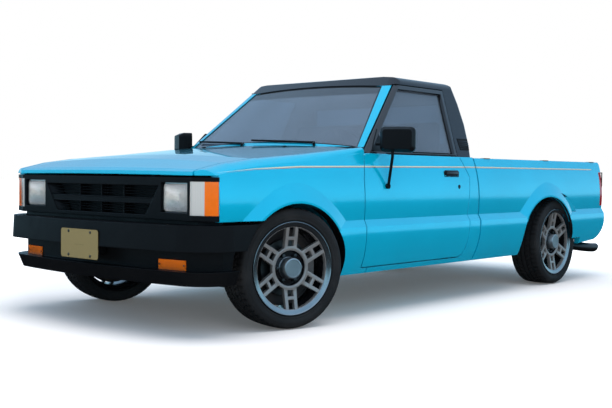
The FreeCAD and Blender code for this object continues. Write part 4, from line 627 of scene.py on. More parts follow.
def deselect_all() -> None:
    """Leave edit mode and deselect every object."""
    if bpy.context.object is not None and bpy.context.object.mode != "OBJECT":
        bpy.ops.object.mode_set(mode="OBJECT")
    bpy.ops.object.select_all(action="DESELECT")


def named(name: str) -> Piece:
    """The piece that the last operator added, under its name."""
    piece = bpy.context.object
    piece.name = piece.data.name = name
    return piece


def focus(piece: Piece) -> None:
    """Select one piece alone and make it active."""
    deselect_all()
    piece.select_set(True)
    bpy.context.view_layer.objects.active = piece


def edit(piece: Piece, kind: str = "FACE") -> None:
    """Open a piece in edit mode with all of it selected.

    Args:
        piece: the piece.
        kind: whether its faces, edges or corners are selected.
    """
    focus(piece)
    bpy.ops.object.mode_set(mode="EDIT")
    bpy.ops.mesh.select_mode(type=kind)
    bpy.ops.mesh.select_all(action="SELECT")


def close(piece: Piece, merge: float = 0.00001) -> Piece:
    """Merge doubles, point the faces outwards and leave edit mode.

    Args:
        piece: the piece that is open.
        merge: how near to each other doubles lie.

    Returns:
        The piece.
    """
    bpy.ops.mesh.select_all(action="SELECT")
    bpy.ops.mesh.remove_doubles(threshold=merge)
    bpy.ops.mesh.normals_make_consistent(inside=False)
    bpy.ops.object.mode_set(mode="OBJECT")
    return piece


def pick(piece: Piece, test: Callable[[Vector, Vector], bool]) -> None:
    """Select only the faces whose middle and normal pass a test.

    Args:
        piece: the piece that is open.
        test: what says of a face's middle and normal whether it is picked.
    """
    bpy.ops.mesh.select_all(action="DESELECT")
    mesh = bmesh.from_edit_mesh(piece.data)
    for face in mesh.faces:
        face.select_set(bool(test(face.calc_center_median(), face.normal)))
    bmesh.update_edit_mesh(piece.data)


def pull(way: Point | Vector) -> None:
    """Extrude what is selected and move it."""
    bpy.ops.mesh.extrude_region_move(TRANSFORM_OT_translate={"value": tuple(way)})


def slab(name: str, outline: Sequence[Point | Vector], depth: Point | Vector) -> Piece:
    """A flat outline pulled out into a closed slab.

    Args:
        name: the piece's name.
        outline: the corners in order.
        depth: how far and where the outline is pulled.

    Returns:
        The piece.
    """
    deselect_all()
    bpy.ops.mesh.primitive_circle_add(vertices=len(outline), fill_type="NGON")
    piece = named(name)
    for vertex, place in zip(piece.data.vertices, outline):
        vertex.co = place
    edit(piece)
    pull(depth)
    return close(piece)


def turned(name: str, section: Section, steps: int = 64) -> Piece:
    """A closed section spun about the X axis.

    Args:
        name: the piece's name.
        section: distance along the axis and radius of each corner.
        steps: how many faces go round.

    Returns:
        The piece.
    """
    deselect_all()
    bpy.ops.mesh.primitive_circle_add(vertices=len(section), fill_type="NOTHING")
    piece = named(name)
    for vertex, (along, radius) in zip(piece.data.vertices, section):
        vertex.co = (along, 0.0, radius)
    edit(piece, "VERT")
    bpy.ops.mesh.spin(steps=steps, angle=math.tau, center=(0.0, 0.0, 0.0), axis=(1.0, 0.0, 0.0))
    return close(piece)


def box(name: str, low: Point, high: Point) -> Piece:
    """A block between two corners, as a start for more shaping."""
    (x0, y0, z0), (x1, y1, z1) = low, high
    return slab(name, [(x0, y0, z0), (x1, y0, z0), (x1, y0, z1), (x0, y0, z1)], (0.0, y1 - y0, 0.0))


def mirrored(half: Section, *middle: tuple[float, float]) -> list[tuple[float, float]]:
    """Half an outline carried on by points in the middle and by its mirror image."""
    return [*half, *middle, *((-across, other) for across, other in reversed(half))]


def rounded(middle: float, half: float, low: float, high: float, corner: float, y: float) -> list[Point]:
    """Corners of an upright rounded rectangle that faces forward.

    Args:
        middle: X of its middle.
        half: half its width.
        low: its lower edge.
        high: its upper edge.
        corner: the radius of its corners.
        y: where it stands.

    Returns:
        The corners in order.
    """
    left, right, top, foot = middle + half - corner, middle - half + corner, high - corner, low + corner
    points = []
    for quarter, (x, z) in enumerate(((left, top), (right, top), (right, foot), (left, foot))):
        for step in range(5):
            angle = math.radians(90.0 * quarter + 22.5 * step)
            points.append((x + corner * math.cos(angle), y, z + corner * math.sin(angle)))
    return points


def tube(name: str, path: Sequence[Point], radius: float, sides: int) -> Piece:
    """A round bar along a smoothed path, made a closed mesh.

    Args:
        name: the piece's name.
        path: the points it follows.
        radius: its radius.
        sides: how finely it is rounded.

    Returns:
        The piece.
    """
    deselect_all()
    line = bpy.data.curves.new(name, "CURVE")
    line.dimensions = "3D"
    line.bevel_depth, line.bevel_resolution, line.resolution_u = radius, sides, 8
    line.use_fill_caps = True
    spline = line.splines.new("NURBS")
    spline.points.add(len(path) - 1)
    for point, place in zip(spline.points, path):
        point.co = (*place, 1.0)
    spline.order_u, spline.use_endpoint_u = 3, True
    made = bpy.data.objects.new(name, line)
    bpy.context.scene.collection.objects.link(made)
    focus(made)
    bpy.ops.object.convert(target="MESH")
    piece = named(name)
    edit(piece)
    return close(piece)


def modify(piece: Piece, kind: str, **settings: object) -> Piece:
    """Put a modifier on a piece and apply it.

    Args:
        piece: the piece.
        kind: the modifier's type.
        settings: the modifier's own settings.

    Returns:
        The piece.
    """
    focus(piece)
    made = piece.modifiers.new(kind.lower(), kind)
    for key, value in settings.items():
        setattr(made, key, value)
    bpy.ops.object.modifier_apply(modifier=made.name)
    return piece


def soften(piece: Piece, width: float, segments: int = 2, angle: float = 32.0) -> Piece:
    """Round the sharp edges of a piece and shade it smooth."""
    return shade(modify(piece, "BEVEL", width=width, segments=segments, limit_method="ANGLE",
                        angle_limit=math.radians(angle)))


def shade(piece: Piece, angle: float = 38.0) -> Piece:
    """Shade a piece smooth up to an angle."""
    focus(piece)
    bpy.ops.object.shade_smooth_by_angle(angle=math.radians(angle))
    return piece


def pressed(piece: Piece, way: Point, margin: float, depth: float, lip: float = 0.0) -> Piece:
    """Press a field into the faces that look one way, or raise it out of them.

    Args:
        piece: the piece.
        way: the direction that the faces look in, of length one.
        margin: how far in from their edge the field starts.
        depth: how far it is raised, negative where it is pressed in.
        lip: how far in a second line runs round the field.

    Returns:
        The piece.
    """
    out = Vector(way)
    edit(piece)
    pick(piece, lambda middle, normal: normal.dot(out) > 0.9)
    bpy.ops.mesh.inset(thickness=margin)
    pull(out * depth)
    if lip > 0.0:
        bpy.ops.mesh.inset(thickness=lip)
    return close(piece)


def stepped(middle: Point, steps: Section) -> None:
    """Carry the selected faces on along Y in steps, each step smaller than the last.

    Args:
        middle: the point that they shrink towards.
        steps: how far each step goes, and its size as a share of the one before.
    """
    for depth, share in steps:
        pull((0.0, depth, 0.0))
        bpy.ops.transform.resize(value=(share, 1.0, share), center_override=middle)


def settle(piece: Piece, place: Matrix) -> Piece:
    """Turn and move a piece, its new place in its mesh.

    Args:
        piece: the piece.
        place: its turn and place.

    Returns:
        The piece.
    """
    focus(piece)
    piece.matrix_world = place
    bpy.ops.object.transform_apply(location=True, rotation=True, scale=True)
    return piece


def facing(piece: Piece, place: Point | Vector) -> Piece:
    """A turned piece with its outer end to the front, put at a place."""
    return settle(piece, Matrix.Translation(place) @ Matrix.Rotation(math.radians(-90.0), 4, "Z"))


def copy_of(piece: Piece, name: str, place: Matrix) -> Piece:
    """A copy with its own mesh, turned and moved."""
    focus(piece)
    bpy.ops.object.duplicate(linked=False)
    return settle(named(name), place)


def opposite(piece: Piece, name: str) -> Piece:
    """The same piece for the truck's other side, in place of the first one.

    Args:
        piece: the piece, which is removed.
        name: the new piece's name.

    Returns:
        The new piece.
    """
    made = copy_of(piece, name, Matrix.Scale(-1.0, 4, (1.0, 0.0, 0.0)))
    bpy.data.objects.remove(piece)
    edit(made)
    return close(made)


def join(pieces: Sequence[Piece], name: str) -> Piece:
    """Several pieces as one.

    Args:
        pieces: the pieces.
        name: the name of what they become.

    Returns:
        The joined piece.
    """
    focus(pieces[0])
    for piece in pieces:
        piece.select_set(True)
    bpy.ops.object.join()
    return named(name)


def cad_copy(node: str, name: str) -> Piece:
    """A merged copy of a CAD node's mesh.

    Args:
        node: the node.
        name: the copy's name.

    Returns:
        The copy.
    """
    made = bpy.data.objects.new(name, frame["nodes"][node].data.copy())
    bpy.context.scene.collection.objects.link(made)
    edit(made)
    bpy.ops.mesh.remove_doubles(threshold=0.00001)
    bpy.ops.object.mode_set(mode="OBJECT")
    return named(name)


# Finding places on the CAD

def surface(node: str, start: Point, way: Point) -> Vector:
    """Where a line first meets a CAD node, or its start where it misses."""
    found, place, _, _ = frame["nodes"][node].ray_cast(Vector(start), Vector(way))
    return place if found else Vector(start)


def side_skin(node: str, side: Side, y: float, z: float) -> Vector:
    """Where a level line from beside the truck first meets a CAD node."""
    return surface(node, (side.sign * OUTSIDE_X, y, z), (-side.sign, 0.0, 0.0))


def top_skin(node: str, x: float, y: float) -> Vector:
    """Where an upright line from over the truck first meets a CAD node."""
    return surface(node, (x, y, OVERHEAD_Z), (0.0, 0.0, -1.0))


def tail_skin(node: str, x: float, z: float) -> float:
    """Y of a CAD node's outer face, seen from behind the truck."""
    return surface(node, (x, BEHIND_Y, z), (0.0, -1.0, 0.0)).y


# Wheels, each section with its distance along the axle and its radius

TREAD_SECTION = ((0.0880, 0.2195), (0.0885, 0.2340), (0.0945, 0.2352), (0.1000, 0.2375), (0.1040, 0.2405),
                 (0.1050, 0.2450), (0.1040, 0.2490), (0.1060, 0.2545), (0.1072, 0.2630), (0.1066, 0.2716),
                 (0.1052, 0.2730), (0.1040, 0.2800), (0.1012, 0.2870), (0.0970, 0.2925), (0.0925, 0.2958),
                 (0.0860, 0.2982), (0.0730, 0.2996), (0.0590, 0.3004), (0.0582, 0.2940), (0.0500, 0.2940),
                 (0.0492, 0.3010), (0.0350, 0.3016), (0.0210, 0.3019), (0.0202, 0.2945), (0.0122, 0.2945),
                 (0.0114, 0.3020))
LINER_SECTION = ((0.0800, 0.2195), (0.0850, 0.2380), (0.0945, 0.2620), (0.0850, 0.2830), (0.0450, 0.2895))
BARREL_SECTION = ((0.0890, 0.2190), (0.0890, 0.2325), (0.0975, 0.2325), (0.0995, 0.2315), (0.1000, 0.2295),
                  (0.0990, 0.2275), (0.0965, 0.2255), (0.0940, 0.2165), (0.0920, 0.2080), (0.0905, 0.2055),
                  (0.0880, 0.2045), (0.0600, 0.2030), (0.0000, 0.2010), (-0.0600, 0.2060), (-0.0900, 0.2120),
                  (-0.0990, 0.2290), (-0.1000, 0.2312), (-0.0980, 0.2325), (-0.0890, 0.2325),
                  (-0.0890, 0.2190), (-0.0860, 0.2185), (-0.0600, 0.2180), (-0.0400, 0.2090),
                  (0.0300, 0.2090), (0.0500, 0.2180), (0.0860, 0.2185))
FACE_SECTION = ((0.0700, 0.0880), (0.0722, 0.0910), (0.0735, 0.1010), (0.0722, 0.1050), (0.0760, 0.1300),
                (0.0830, 0.1700), (0.0895, 0.2055), (0.0900, 0.2070), (0.0660, 0.2070), (0.0610, 0.1700),
                (0.0540, 0.1300), (0.0480, 0.1050), (0.0445, 0.0880))
HUB_SECTION = ((0.0480, 0.0), (0.0480, 0.0560), (0.0475, 0.0820), (0.0520, 0.0865), (0.0690, 0.0885),
               (0.0690, 0.0930), (0.0442, 0.0930), (0.0442, 0.0))
CAP_SECTION = ((0.0470, 0.0), (0.0470, 0.0545), (0.0530, 0.0545), (0.0540, 0.0530), (0.0940, 0.0515),
               (0.0978, 0.0500), (0.0992, 0.0475), (0.0992, 0.0430), (0.0978, 0.0415), (0.0978, 0.0))
DISC_SECTION = ((0.000, 0.060), (0.000, 0.139), (0.0015, 0.140), (0.0165, 0.140), (0.018, 0.139),
                (0.018, 0.076), (0.042, 0.075), (0.044, 0.073), (0.044, 0.060))
DRUM_SECTION = ((-0.026, 0.0), (-0.026, 0.128), (-0.018, 0.130), (-0.012, 0.1275), (0.030, 0.1275),
                (0.036, 0.124), (0.044, 0.118), (0.044, 0.0))
SHIELD_SECTION = ((-0.014, 0.060), (-0.014, 0.178), (-0.008, 0.186), (-0.004, 0.186), (-0.002, 0.1915),
                  (-0.006, 0.194), (-0.016, 0.180), (-0.017, 0.060))


@dataclass
class Wheels(SubAssembly):
    """Four treaded tyres on twin-bar alloy wheels with their brakes."""

    radius: float = 0.3020
    tyre_steps: int = 216
    rim_steps: int = 96
    spoke_count: int = 6
    bar_inner: float = 0.0175
    bar_outer: float = 0.0345
    hub_edge: float = 0.1055
    lip_edge: float = 0.2035
    bridge_low: float = 0.140
    bridge_high: float = 0.156
    tread_depth: float = 0.005
    nut_circle: float = 0.069
    nut_half: float = 0.0105
    lip_start: float = 0.0885

    def build(self) -> None:
        """Model one wheel, put copies at the four corners and shield the front discs."""
        wheel = [self.tyre(), self.barrel(), self.spokes(), self.spun("hub", HUB_SECTION, Finish.GLOSS_BLACK),
                 self.spun("cap", CAP_SECTION, Finish.CAP), self.nuts()]
        brakes = {"front": self.spun("disc", DISC_SECTION, Finish.STEEL),
                  "rear": self.spun("drum", DRUM_SECTION, Finish.STEEL)}
        for end, brake in brakes.items():
            for side in Side:
                self.mount(wheel + [brake], end, side)
        for pattern in wheel + list(brakes.values()):
            bpy.data.objects.remove(pattern)
        for side in Side:
            shield = settle(turned(f"dust_shield_{side.label}", SHIELD_SECTION), self.corner("front", side))
            self.fit(shade(shield), Finish.CHASSIS, f"{side.label}_knuckle")

    def corner(self, end: str, side: Side) -> Matrix:
        """Where a wheel stands, turned to the angle that the truck is steered to.

        Args:
            end: front or rear.
            side: the side of the truck.

        Returns:
            The wheel's place, with its outer face outwards.
        """
        if end == "front":
            pivot = Matrix.Translation((side.sign * KINGPIN_X, FRONT_AXLE_Y, AXLE_Z))
            steer = pivot @ Matrix.Rotation(-STEER_AT_REST, 4, "Z") @ pivot.inverted()
            place = steer @ Matrix.Translation((side.sign * WHEEL_X, FRONT_AXLE_Y, AXLE_Z))
        else:
            place = Matrix.Translation((side.sign * REAR_WHEEL_X, REAR_AXLE_Y, AXLE_Z))
        return place @ Matrix.Rotation(0.0 if side is Side.LEFT else math.pi, 4, "Z")

    def mount(self, patterns: Sequence[Piece], end: str, side: Side) -> None:
        """Copy the patterns to one corner.

        Args:
            patterns: the pieces of one wheel about the origin.
            end: front or rear.
            side: the side of the truck.
        """
        place = self.corner(end, side)
        for pattern in patterns:
            kind = pattern.name.removeprefix("pattern_")
            piece = copy_of(pattern, f"{kind}_{end}_{side.label}_piece", place)
            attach(piece, f"wheel_{end}_{side.label}")
            LOG.info("%s rides on wheel_%s_%s", piece.name, end, side.label)
            if kind == "tyre":
                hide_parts(f"tyre_{end}_{side.label}")
            elif kind == "barrel":
                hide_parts(f"rim_{end}_{side.label}")

    def spun(self, kind: str, section: Section, finish: Finish) -> Piece:
        """A part of the wheel spun about its axle, as a pattern to copy."""
        return self.wardrobe.dress(shade(turned(f"pattern_{kind}", section, self.rim_steps), 30.0), finish)

    def tyre(self) -> Piece:
        """Low tyre with four grooves, cut shoulder blocks and a ribbed sidewall.

        Returns:
            The pattern.
        """
        tread = mirrored(TREAD_SECTION, (0.0, self.radius))
        tyre = turned("pattern_tyre", tread + mirrored(LINER_SECTION)[::-1], self.tyre_steps)
        step = math.tau / self.tyre_steps

        def in_groove(middle: Vector, normal: Vector) -> bool:
            """Whether a face lies in a cut across the shoulder or the inner rib.

            Args:
                middle: the face's middle.
                normal: the way that it faces.

            Returns:
                Whether the face is pushed in.
            """
            radius = math.hypot(middle.y, middle.z)
            slot = int((math.atan2(middle.z, middle.y) + math.pi) / step) % 4
            across = abs(middle.x)
            if across > 0.060 and radius > 0.2935:
                return slot == (0 if middle.x > 0.0 else 2)
            if 0.021 < across < 0.049 and radius > 0.3005:
                return slot == (1 if across > 0.035 else 2)
            return False

        edit(tyre)
        pick(tyre, in_groove)
        pull((0.0, 0.0, 0.0))
        bpy.ops.transform.shrink_fatten(value=-self.tread_depth)
        return self.wardrobe.dress(shade(close(tyre), 30.0), Finish.TYRE)

    def barrel(self) -> Piece:
        """Rim barrel, dark inside a bright rolled lip.

        Returns:
            The pattern.
        """
        barrel = self.spun("barrel", BARREL_SECTION, Finish.LIP)
        barrel.data.materials.append(self.wardrobe.material(Finish.GLOSS_BLACK))
        for face in barrel.data.polygons:
            face.material_index = 0 if face.center.x > self.lip_start else 1
        return barrel

    def spokes(self) -> Piece:
        """Dished face cut into six pairs of bars, each with a bridge.

        Returns:
            The pattern.
        """
        face = turned("pattern_spokes", FACE_SECTION, self.rim_steps)
        tools = []
        for count in range(self.spoke_count):
            turn = Matrix.Rotation(count * math.tau / self.spoke_count, 4, "X")
            for index, outline in enumerate(self.openings()):
                tools.append(settle(slab(f"tool_{count}_{index}", outline, (0.120, 0.0, 0.0)), turn))
        tool = join(tools, "tool")
        modify(face, "BOOLEAN", operation="DIFFERENCE", solver="EXACT", object=tool)
        bpy.data.objects.remove(tool)
        return self.wardrobe.dress(soften(face, 0.0022, 2, 40.0), Finish.ALLOY)

    def openings(self) -> list[list[Point]]:
        """The shape of what is cut out of the face for each spoke.

        Returns:
            The outlines of the two windows in a spoke and of the space beside it.
        """
        x, half = 0.010, self.bar_inner
        heights = ((self.hub_edge + 0.003, self.bridge_low), (self.bridge_high, self.lip_edge))
        windows = [[(x, -half, low), (x, half, low), (x, half, high), (x, -half, high)]
                   for low, high in heights]
        pitch = math.pi / self.spoke_count
        inner = pitch - math.asin((self.bar_outer + 0.002) / self.hub_edge)
        outer = pitch - math.asin(self.bar_outer / self.lip_edge)
        points = [(self.hub_edge, pitch + inner * share) for share in (-1.0, -0.4, 0.4, 1.0)]
        points += [(self.lip_edge, pitch + outer * share) for share in (1.0, 0.6, 0.2, -0.2, -0.6, -1.0)]
        gap = [(x, -radius * math.sin(angle), radius * math.cos(angle)) for radius, angle in points]
        return windows + [gap]

    def nuts(self) -> Piece:
        """Six hexagon nuts on their seats in the pocket.

        Returns:
            The pattern.
        """
        corners = [(0.0470, self.nut_half * math.sin(turn), self.nut_circle + self.nut_half * math.cos(turn))
                   for turn in (count * math.pi / 3.0 for count in range(6))]
        nuts = []
        for count in range(self.spoke_count):
            nut = soften(slab(f"nut_{count}", corners, (0.019, 0.0, 0.0)), 0.0015)
            nuts.append(settle(nut, Matrix.Rotation((2 * count + 1) * math.pi / self.spoke_count, 4, "X")))
        return self.wardrobe.dress(join(nuts, "pattern_nuts"), Finish.STEEL)


# Front end

@dataclass
class FrontEnd(SubAssembly):
    """Grille slats and bezels, lamps, bumper trim and the blank plate."""

    face_y: float = FRONT_AXLE_Y - 0.606
    rows: tuple[tuple[float, float], ...] = ((0.5675, 0.6185), (0.6495, 0.7055))
    grille_low: float = 0.567
    grille_height: float = 0.139
    grille_half: float = 0.362
    grille_flare: float = 0.096
    slat_depth: float = 0.024
    bezel_width: float = 0.062
    bezel_depth: float = 0.042
    bar_heights: tuple[float, float] = (0.6215, 0.6465)
    lamp_x: float = 0.566
    lamp_half: float = 0.0915
    lamp_low: float = 0.5835
    lamp_high: float = 0.7215
    lamp_rim: float = 0.0046
    screw_places: tuple[float, float] = (0.4880, 0.6350)
    plate_y: float = FRONT_AXLE_Y - 0.7256
    plate_low: float = 0.343
    plate_high: float = 0.487
    plate_half: float = 0.1525
    bolt_x: float = 0.089

    def build(self) -> None:
        """Model and fit every piece of the nose."""
        self.slats()
        self.bezels()
        for side in Side:
            self.headlamp(side)
            self.bumper_lamp(side)
        self.plate()
        self.filler()

    def half_width(self, z: float) -> float:
        """Half the width of the grille's opening at a height."""
        return self.grille_half + (z - self.grille_low) / self.grille_height * self.grille_flare

    def filler(self) -> None:
        """Black panel that closes the space between the grille surround and the bumper."""
        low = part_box("front_bumper")[1][2] - 0.045
        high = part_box("grille")[0][2] + 0.012
        y = self.face_y + 0.030
        outline = mirrored(((0.700, 0.0), (0.772, 0.060), (0.772, 0.085), (0.690, 0.022)))
        panel = slab("nose_filler", [(x, y + back, low) for x, back in outline], (0.0, 0.0, high - low))
        self.fit(soften(panel, 0.003), Finish.PLASTIC)

    def slats(self) -> None:
        """Fine level slats set back in both rows of the grille."""
        front = self.face_y + 0.019
        back = front + self.slat_depth
        slats = []
        for row, (low, high) in enumerate(self.rows):
            for step in range(1, 4):
                z = low + (high - low) * step / 4.0
                reach = self.half_width(z) - 0.001
                outline = [(-reach, y, z + up) for y, up in
                           ((front, -0.0016), (back, -0.0022), (back, 0.0022), (front, 0.0016))]
                slats.append(slab(f"slat_{row}_{step}", outline, (2.0 * reach, 0.0, 0.0)))
        self.fit(soften(join(slats, "grille_slats"), 0.0008, 1), Finish.PLASTIC)

    def bezels(self) -> None:
        """Slanted end pieces that lead into the rows of cells, and the bar's raised edges."""
        pieces = []
        front, back = self.face_y + 0.002, self.face_y + 0.002 + self.bezel_depth
        for side in Side:
            for low, high in self.rows:
                foot, top = (side.sign * (self.half_width(z) + 0.004) for z in (low, high))
                inner = foot - side.sign * self.bezel_width
                outline = [(x, y, low + 0.001) for x, y in ((foot, front), (inner, back), (foot, back))]
                piece = slab(f"bezel_{side.label}_{low}", outline, (0.0, 0.0, high - low - 0.002))
                for vertex in piece.data.vertices:
                    if vertex.co.z > 0.5 * (low + high):
                        vertex.co.x += top - foot
                pieces.append(piece)
        for z in self.bar_heights:
            pieces.append(box(f"bar_edge_{z}", (-0.40, self.face_y + 0.0015, z - 0.0022),
                              (0.40, self.face_y + 0.012, z + 0.0022)))
        self.fit(soften(join(pieces, "grille_bezels"), 0.0012), Finish.PLASTIC)

    def headlamp(self, side: Side) -> None:
        """Sealed-beam lamp: bright reflector bowl, fluted crowned lens and bulb.

        Args:
            side: the side of the truck.
        """
        x, y, mid = side.sign * self.lamp_x, self.face_y + 0.008, 0.5 * (self.lamp_low + self.lamp_high)
        outline = rounded(x, self.lamp_half, self.lamp_low, self.lamp_high, 0.022, y + 0.050)
        bowl = slab(f"{side.label}_lamp_bowl", outline, (0.0, -0.044, 0.0))
        edit(bowl)
        pick(bowl, lambda middle, normal: normal.y < -0.9)
        bpy.ops.mesh.inset(thickness=0.0045)
        stepped((x, y, mid), ((0.006, 0.97), (0.012, 0.88), (0.012, 0.70), (0.006, 0.42)))
        self.fit(shade(close(bowl), 50.0), Finish.CHROME)
        if side is Side.LEFT:
            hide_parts("headlamps")
        half, low, high = self.lamp_half, self.lamp_low + self.lamp_rim, self.lamp_high - self.lamp_rim
        outline = rounded(x, half - self.lamp_rim, low, high, 0.018, y + 0.008)
        lens = slab(f"{side.label}_lamp_lens", outline, (0.0, -0.003, 0.0))
        edit(lens)
        pick(lens, lambda middle, normal: normal.y < -0.9)
        stepped((x, y, mid), ((-0.0035, 0.90), (-0.0022, 0.78), (-0.0012, 0.60)))
        self.fit(shade(close(lens), 50.0), Finish.CLEAR_LENS)
        section = ((-0.006, 0.0), (-0.006, 0.012), (0.0, 0.017), (0.012, 0.017), (0.012, 0.0))
        bulb = facing(turned(f"{side.label}_lamp_bulb", section, 24), (x, y + 0.026, mid))
        self.fit(shade(bulb), Finish.CHROME)

    def bumper_lamp(self, side: Side) -> None:
        """Two bright screws in the face of the amber lamp.

        Args:
            side: the side of the truck.
        """
        low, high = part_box("bumper_lamps")
        z = 0.5 * (low[2] + high[2])
        section = ((-0.001, 0.0), (-0.001, 0.0042), (0.0015, 0.0042), (0.003, 0.003), (0.003, 0.0))
        screws = []
        for x in self.screw_places:
            face = surface("bumper_lamps", (side.sign * x, AHEAD_Y, z), (0.0, 1.0, 0.0))
            screws.append(facing(turned(f"{side.label}_screw_{x}", section, 12), face))
        self.fit(shade(join(screws, f"{side.label}_lamp_screws")), Finish.STEEL)

    def plate(self) -> None:
        """Blank pressed plate with a raised edge, four bolts and its holder."""
        low, high, y = self.plate_low, self.plate_high, self.plate_y
        plate = slab("front_plate", rounded(0.0, self.plate_half, low, high, 0.014, y), (0.0, 0.0016, 0.0))
        pressed(plate, (0.0, -1.0, 0.0), 0.005, -0.0008, 0.002)
        self.fit(soften(plate, 0.0004, 1), Finish.PLATE)
        section = ((0.0, 0.0), (0.0, 0.0075), (0.0008, 0.0075), (0.0014, 0.006), (0.0018, 0.003),
                   (0.0018, 0.0))
        bolts = [facing(turned(f"bolt_{x}_{z}", section, 16), (x, y + 0.0010, z))
                 for x in (-self.bolt_x, self.bolt_x) for z in (low + 0.014, high - 0.014)]
        self.fit(shade(join(bolts, "plate_bolts")), Finish.STEEL)
        outline = rounded(0.0, 0.120, low + 0.020, 0.425, 0.010, y + 0.0016)
        holder = slab("plate_holder", outline, (0.0, 0.070, 0.0))
        self.fit(soften(holder, 0.002), Finish.PLASTIC)


# Cab and doors

@dataclass
class Cab(SubAssembly):
    """Window rubbers, door furniture, louvres, mirror glass and wipers."""

    belt_z: float = 0.8845
    strip_stations: tuple[float, ...] = (0.600, 0.800, 1.000, 1.200, 1.400, 1.487)
    handle_station: float = 1.372
    handle_z: float = 0.776
    key_station: float = 1.447
    key_z: float = 0.698
    mirror_z: float = 0.948
    mirror_turn: float = math.radians(30.0)
    louvre_count: int = 5
    louvre_low: float = 0.932
    louvre_pitch: float = 0.0118
    field_start: float = 1.553
    field_pitch: float = 0.0205
    field_heights: tuple[float, float] = (0.924, 0.996)
    seal_start: float = 1.078
    seal_length: float = 0.412
    wiper_low: float = 0.948
    jet_x: float = 0.33
    slot_pitch: float = 0.068

    def build(self) -> None:
        """Model and fit every piece of the cab."""
        self.gasket("windshield", "windshield_rubber", (0.0, -0.6, 0.8), 0.024)
        self.gasket("rear_window", "rear_window_rubber", (0.0, 1.0, 0.1), 0.020)
        for side in Side:
            out = (side.sign, 0.0, 0.3)
            self.gasket(f"{side.door}_glass", f"{side.label}_glass_channel", out, 0.016, side.door)
            for make in (self.belt_strip, self.handle, self.keyhole, self.corner_cover, self.mirror_glass,
                         self.louvres, self.louvre_field, self.roof_seal, self.washer_jet):
                make(side)
        self.wiper_blades()
        self.cowl_slots()

    def gasket(self, node: str, name: str, out: Point, width: float, body: str = "chassis") -> None:
        """Black rubber round the edge of a pane, standing a little proud of it.

        Args:
            node: the pane's CAD node.
            name: the rubber's name.
            out: the rough way that the pane faces.
            width: how wide the rubber is.
            body: the body it rides on.
        """
        ring = cad_copy(node, name)
        edit(ring)
        total = Vector()
        for face in bmesh.from_edit_mesh(ring.data).faces:
            total += face.normal * face.calc_area() * (1.0 if face.normal.dot(Vector(out)) > 0.0 else -1.0)
        across = total.normalized()
        pick(ring, lambda middle, normal: abs(normal.dot(across)) > 0.75)
        bpy.ops.mesh.delete(type="FACE")
        bpy.ops.object.mode_set(mode="OBJECT")
        modify(ring, "SOLIDIFY", thickness=width, offset=0.0, use_even_offset=False)
        edit(ring)
        close(ring, 0.0001)
        for vertex in ring.data.vertices:
            vertex.co += across * (0.0012 if vertex.normal.dot(across) > 0.0 else -0.0012)
        self.fit(shade(ring, 40.0), Finish.RUBBER, body)

    def belt_strip(self, side: Side) -> None:
        """Black wiper strip along the foot of the door glass.

        Args:
            side: the side of the truck.
        """
        path = [side_skin(side.door, side, station(distance), self.belt_z)
                for distance in self.strip_stations]
        section = ((-0.004, -0.011), (0.0035, -0.011), (0.0045, 0.004), (-0.006, 0.007))
        strips = [slab(f"{side.label}_strip_{first.y:.2f}",
                       [first + Vector((side.sign * out, 0.0, up)) for out, up in section], second - first)
                  for first, second in zip(path, path[1:])]
        self.fit(soften(join(strips, f"{side.label}_belt_strip"), 0.001), Finish.RUBBER, side.door)

    def handle(self, side: Side) -> None:
        """Lift handle in a dark cup let into the door skin.

        Args:
            side: the side of the truck.
        """
        y, z, out = station(self.handle_station), self.handle_z, (side.sign, 0.0, 0.0)
        skin = side_skin(side.door, side, y, z).x
        ring = mirrored(((0.066, 0.021), (0.082, 0.010), (0.078, -0.019)))
        cup = slab(f"{side.label}_handle_plate",
                   [(skin - side.sign * 0.006, y + along, z + up) for along, up in ring],
                   (side.sign * 0.0098, 0.0, 0.0))
        self.fit(soften(pressed(cup, out, 0.0045, -0.0022), 0.0018), Finish.GLOSS_BLACK, side.door)
        grip = slab(f"{side.label}_handle_grip",
                    [(skin - side.sign * 0.003, y + along, z + up)
                     for along, up in ((-0.060, -0.013), (0.070, -0.013), (0.070, 0.015), (-0.060, 0.015))],
                    (side.sign * 0.010, 0.0, 0.0))
        self.fit(soften(pressed(grip, out, 0.004, 0.002), 0.0015), Finish.BLACK_PAINT, side.door)

    def keyhole(self, side: Side) -> None:
        """Key cylinder with its ring and slot.

        Args:
            side: the side of the truck.
        """
        y, z = station(self.key_station), self.key_z
        skin = side_skin(side.door, side, y, z).x
        section = ((-0.004, 0.0), (-0.004, 0.0125), (0.0012, 0.0125), (0.0022, 0.0110), (0.0022, 0.0085),
                   (0.0008, 0.0080), (0.0008, 0.0))
        lock = turned(f"{side.label}_lock", section, 32)
        if side is Side.RIGHT:
            lock = opposite(lock, f"{side.door}_lock")
        self.fit(shade(settle(lock, Matrix.Translation((skin, y, z)))), Finish.GLOSS_BLACK, side.door)
        slot = box(f"{side.label}_key_slot", (skin - 0.002, y - 0.0012, z - 0.0055),
                   (skin + side.sign * 0.0022, y + 0.0012, z + 0.0055))
        self.fit(soften(slot, 0.0003, 1), Finish.STEEL, side.door)

    def corner_cover(self, side: Side) -> None:
        """Black corner cover between the windshield pillar and the door glass.

        Args:
            side: the side of the truck.
        """
        outline = []
        for distance, z in ((0.640, 0.893), (0.775, 0.893), (0.772, 1.020), (0.755, 1.024)):
            x = side_skin(f"{side.door}_glass", side, station(distance + 0.02), z).x
            if abs(x) > MISSED_X:
                x = side.sign * (0.752 - 0.36 * (z - BELT_Z))
            outline.append((x - side.sign * 0.001, station(distance), z))
        cover = slab(f"{side.label}_corner_cover", outline, (side.sign * 0.008, 0.0, 0.0))
        self.fit(soften(cover, 0.0025), Finish.PLASTIC, side.door)

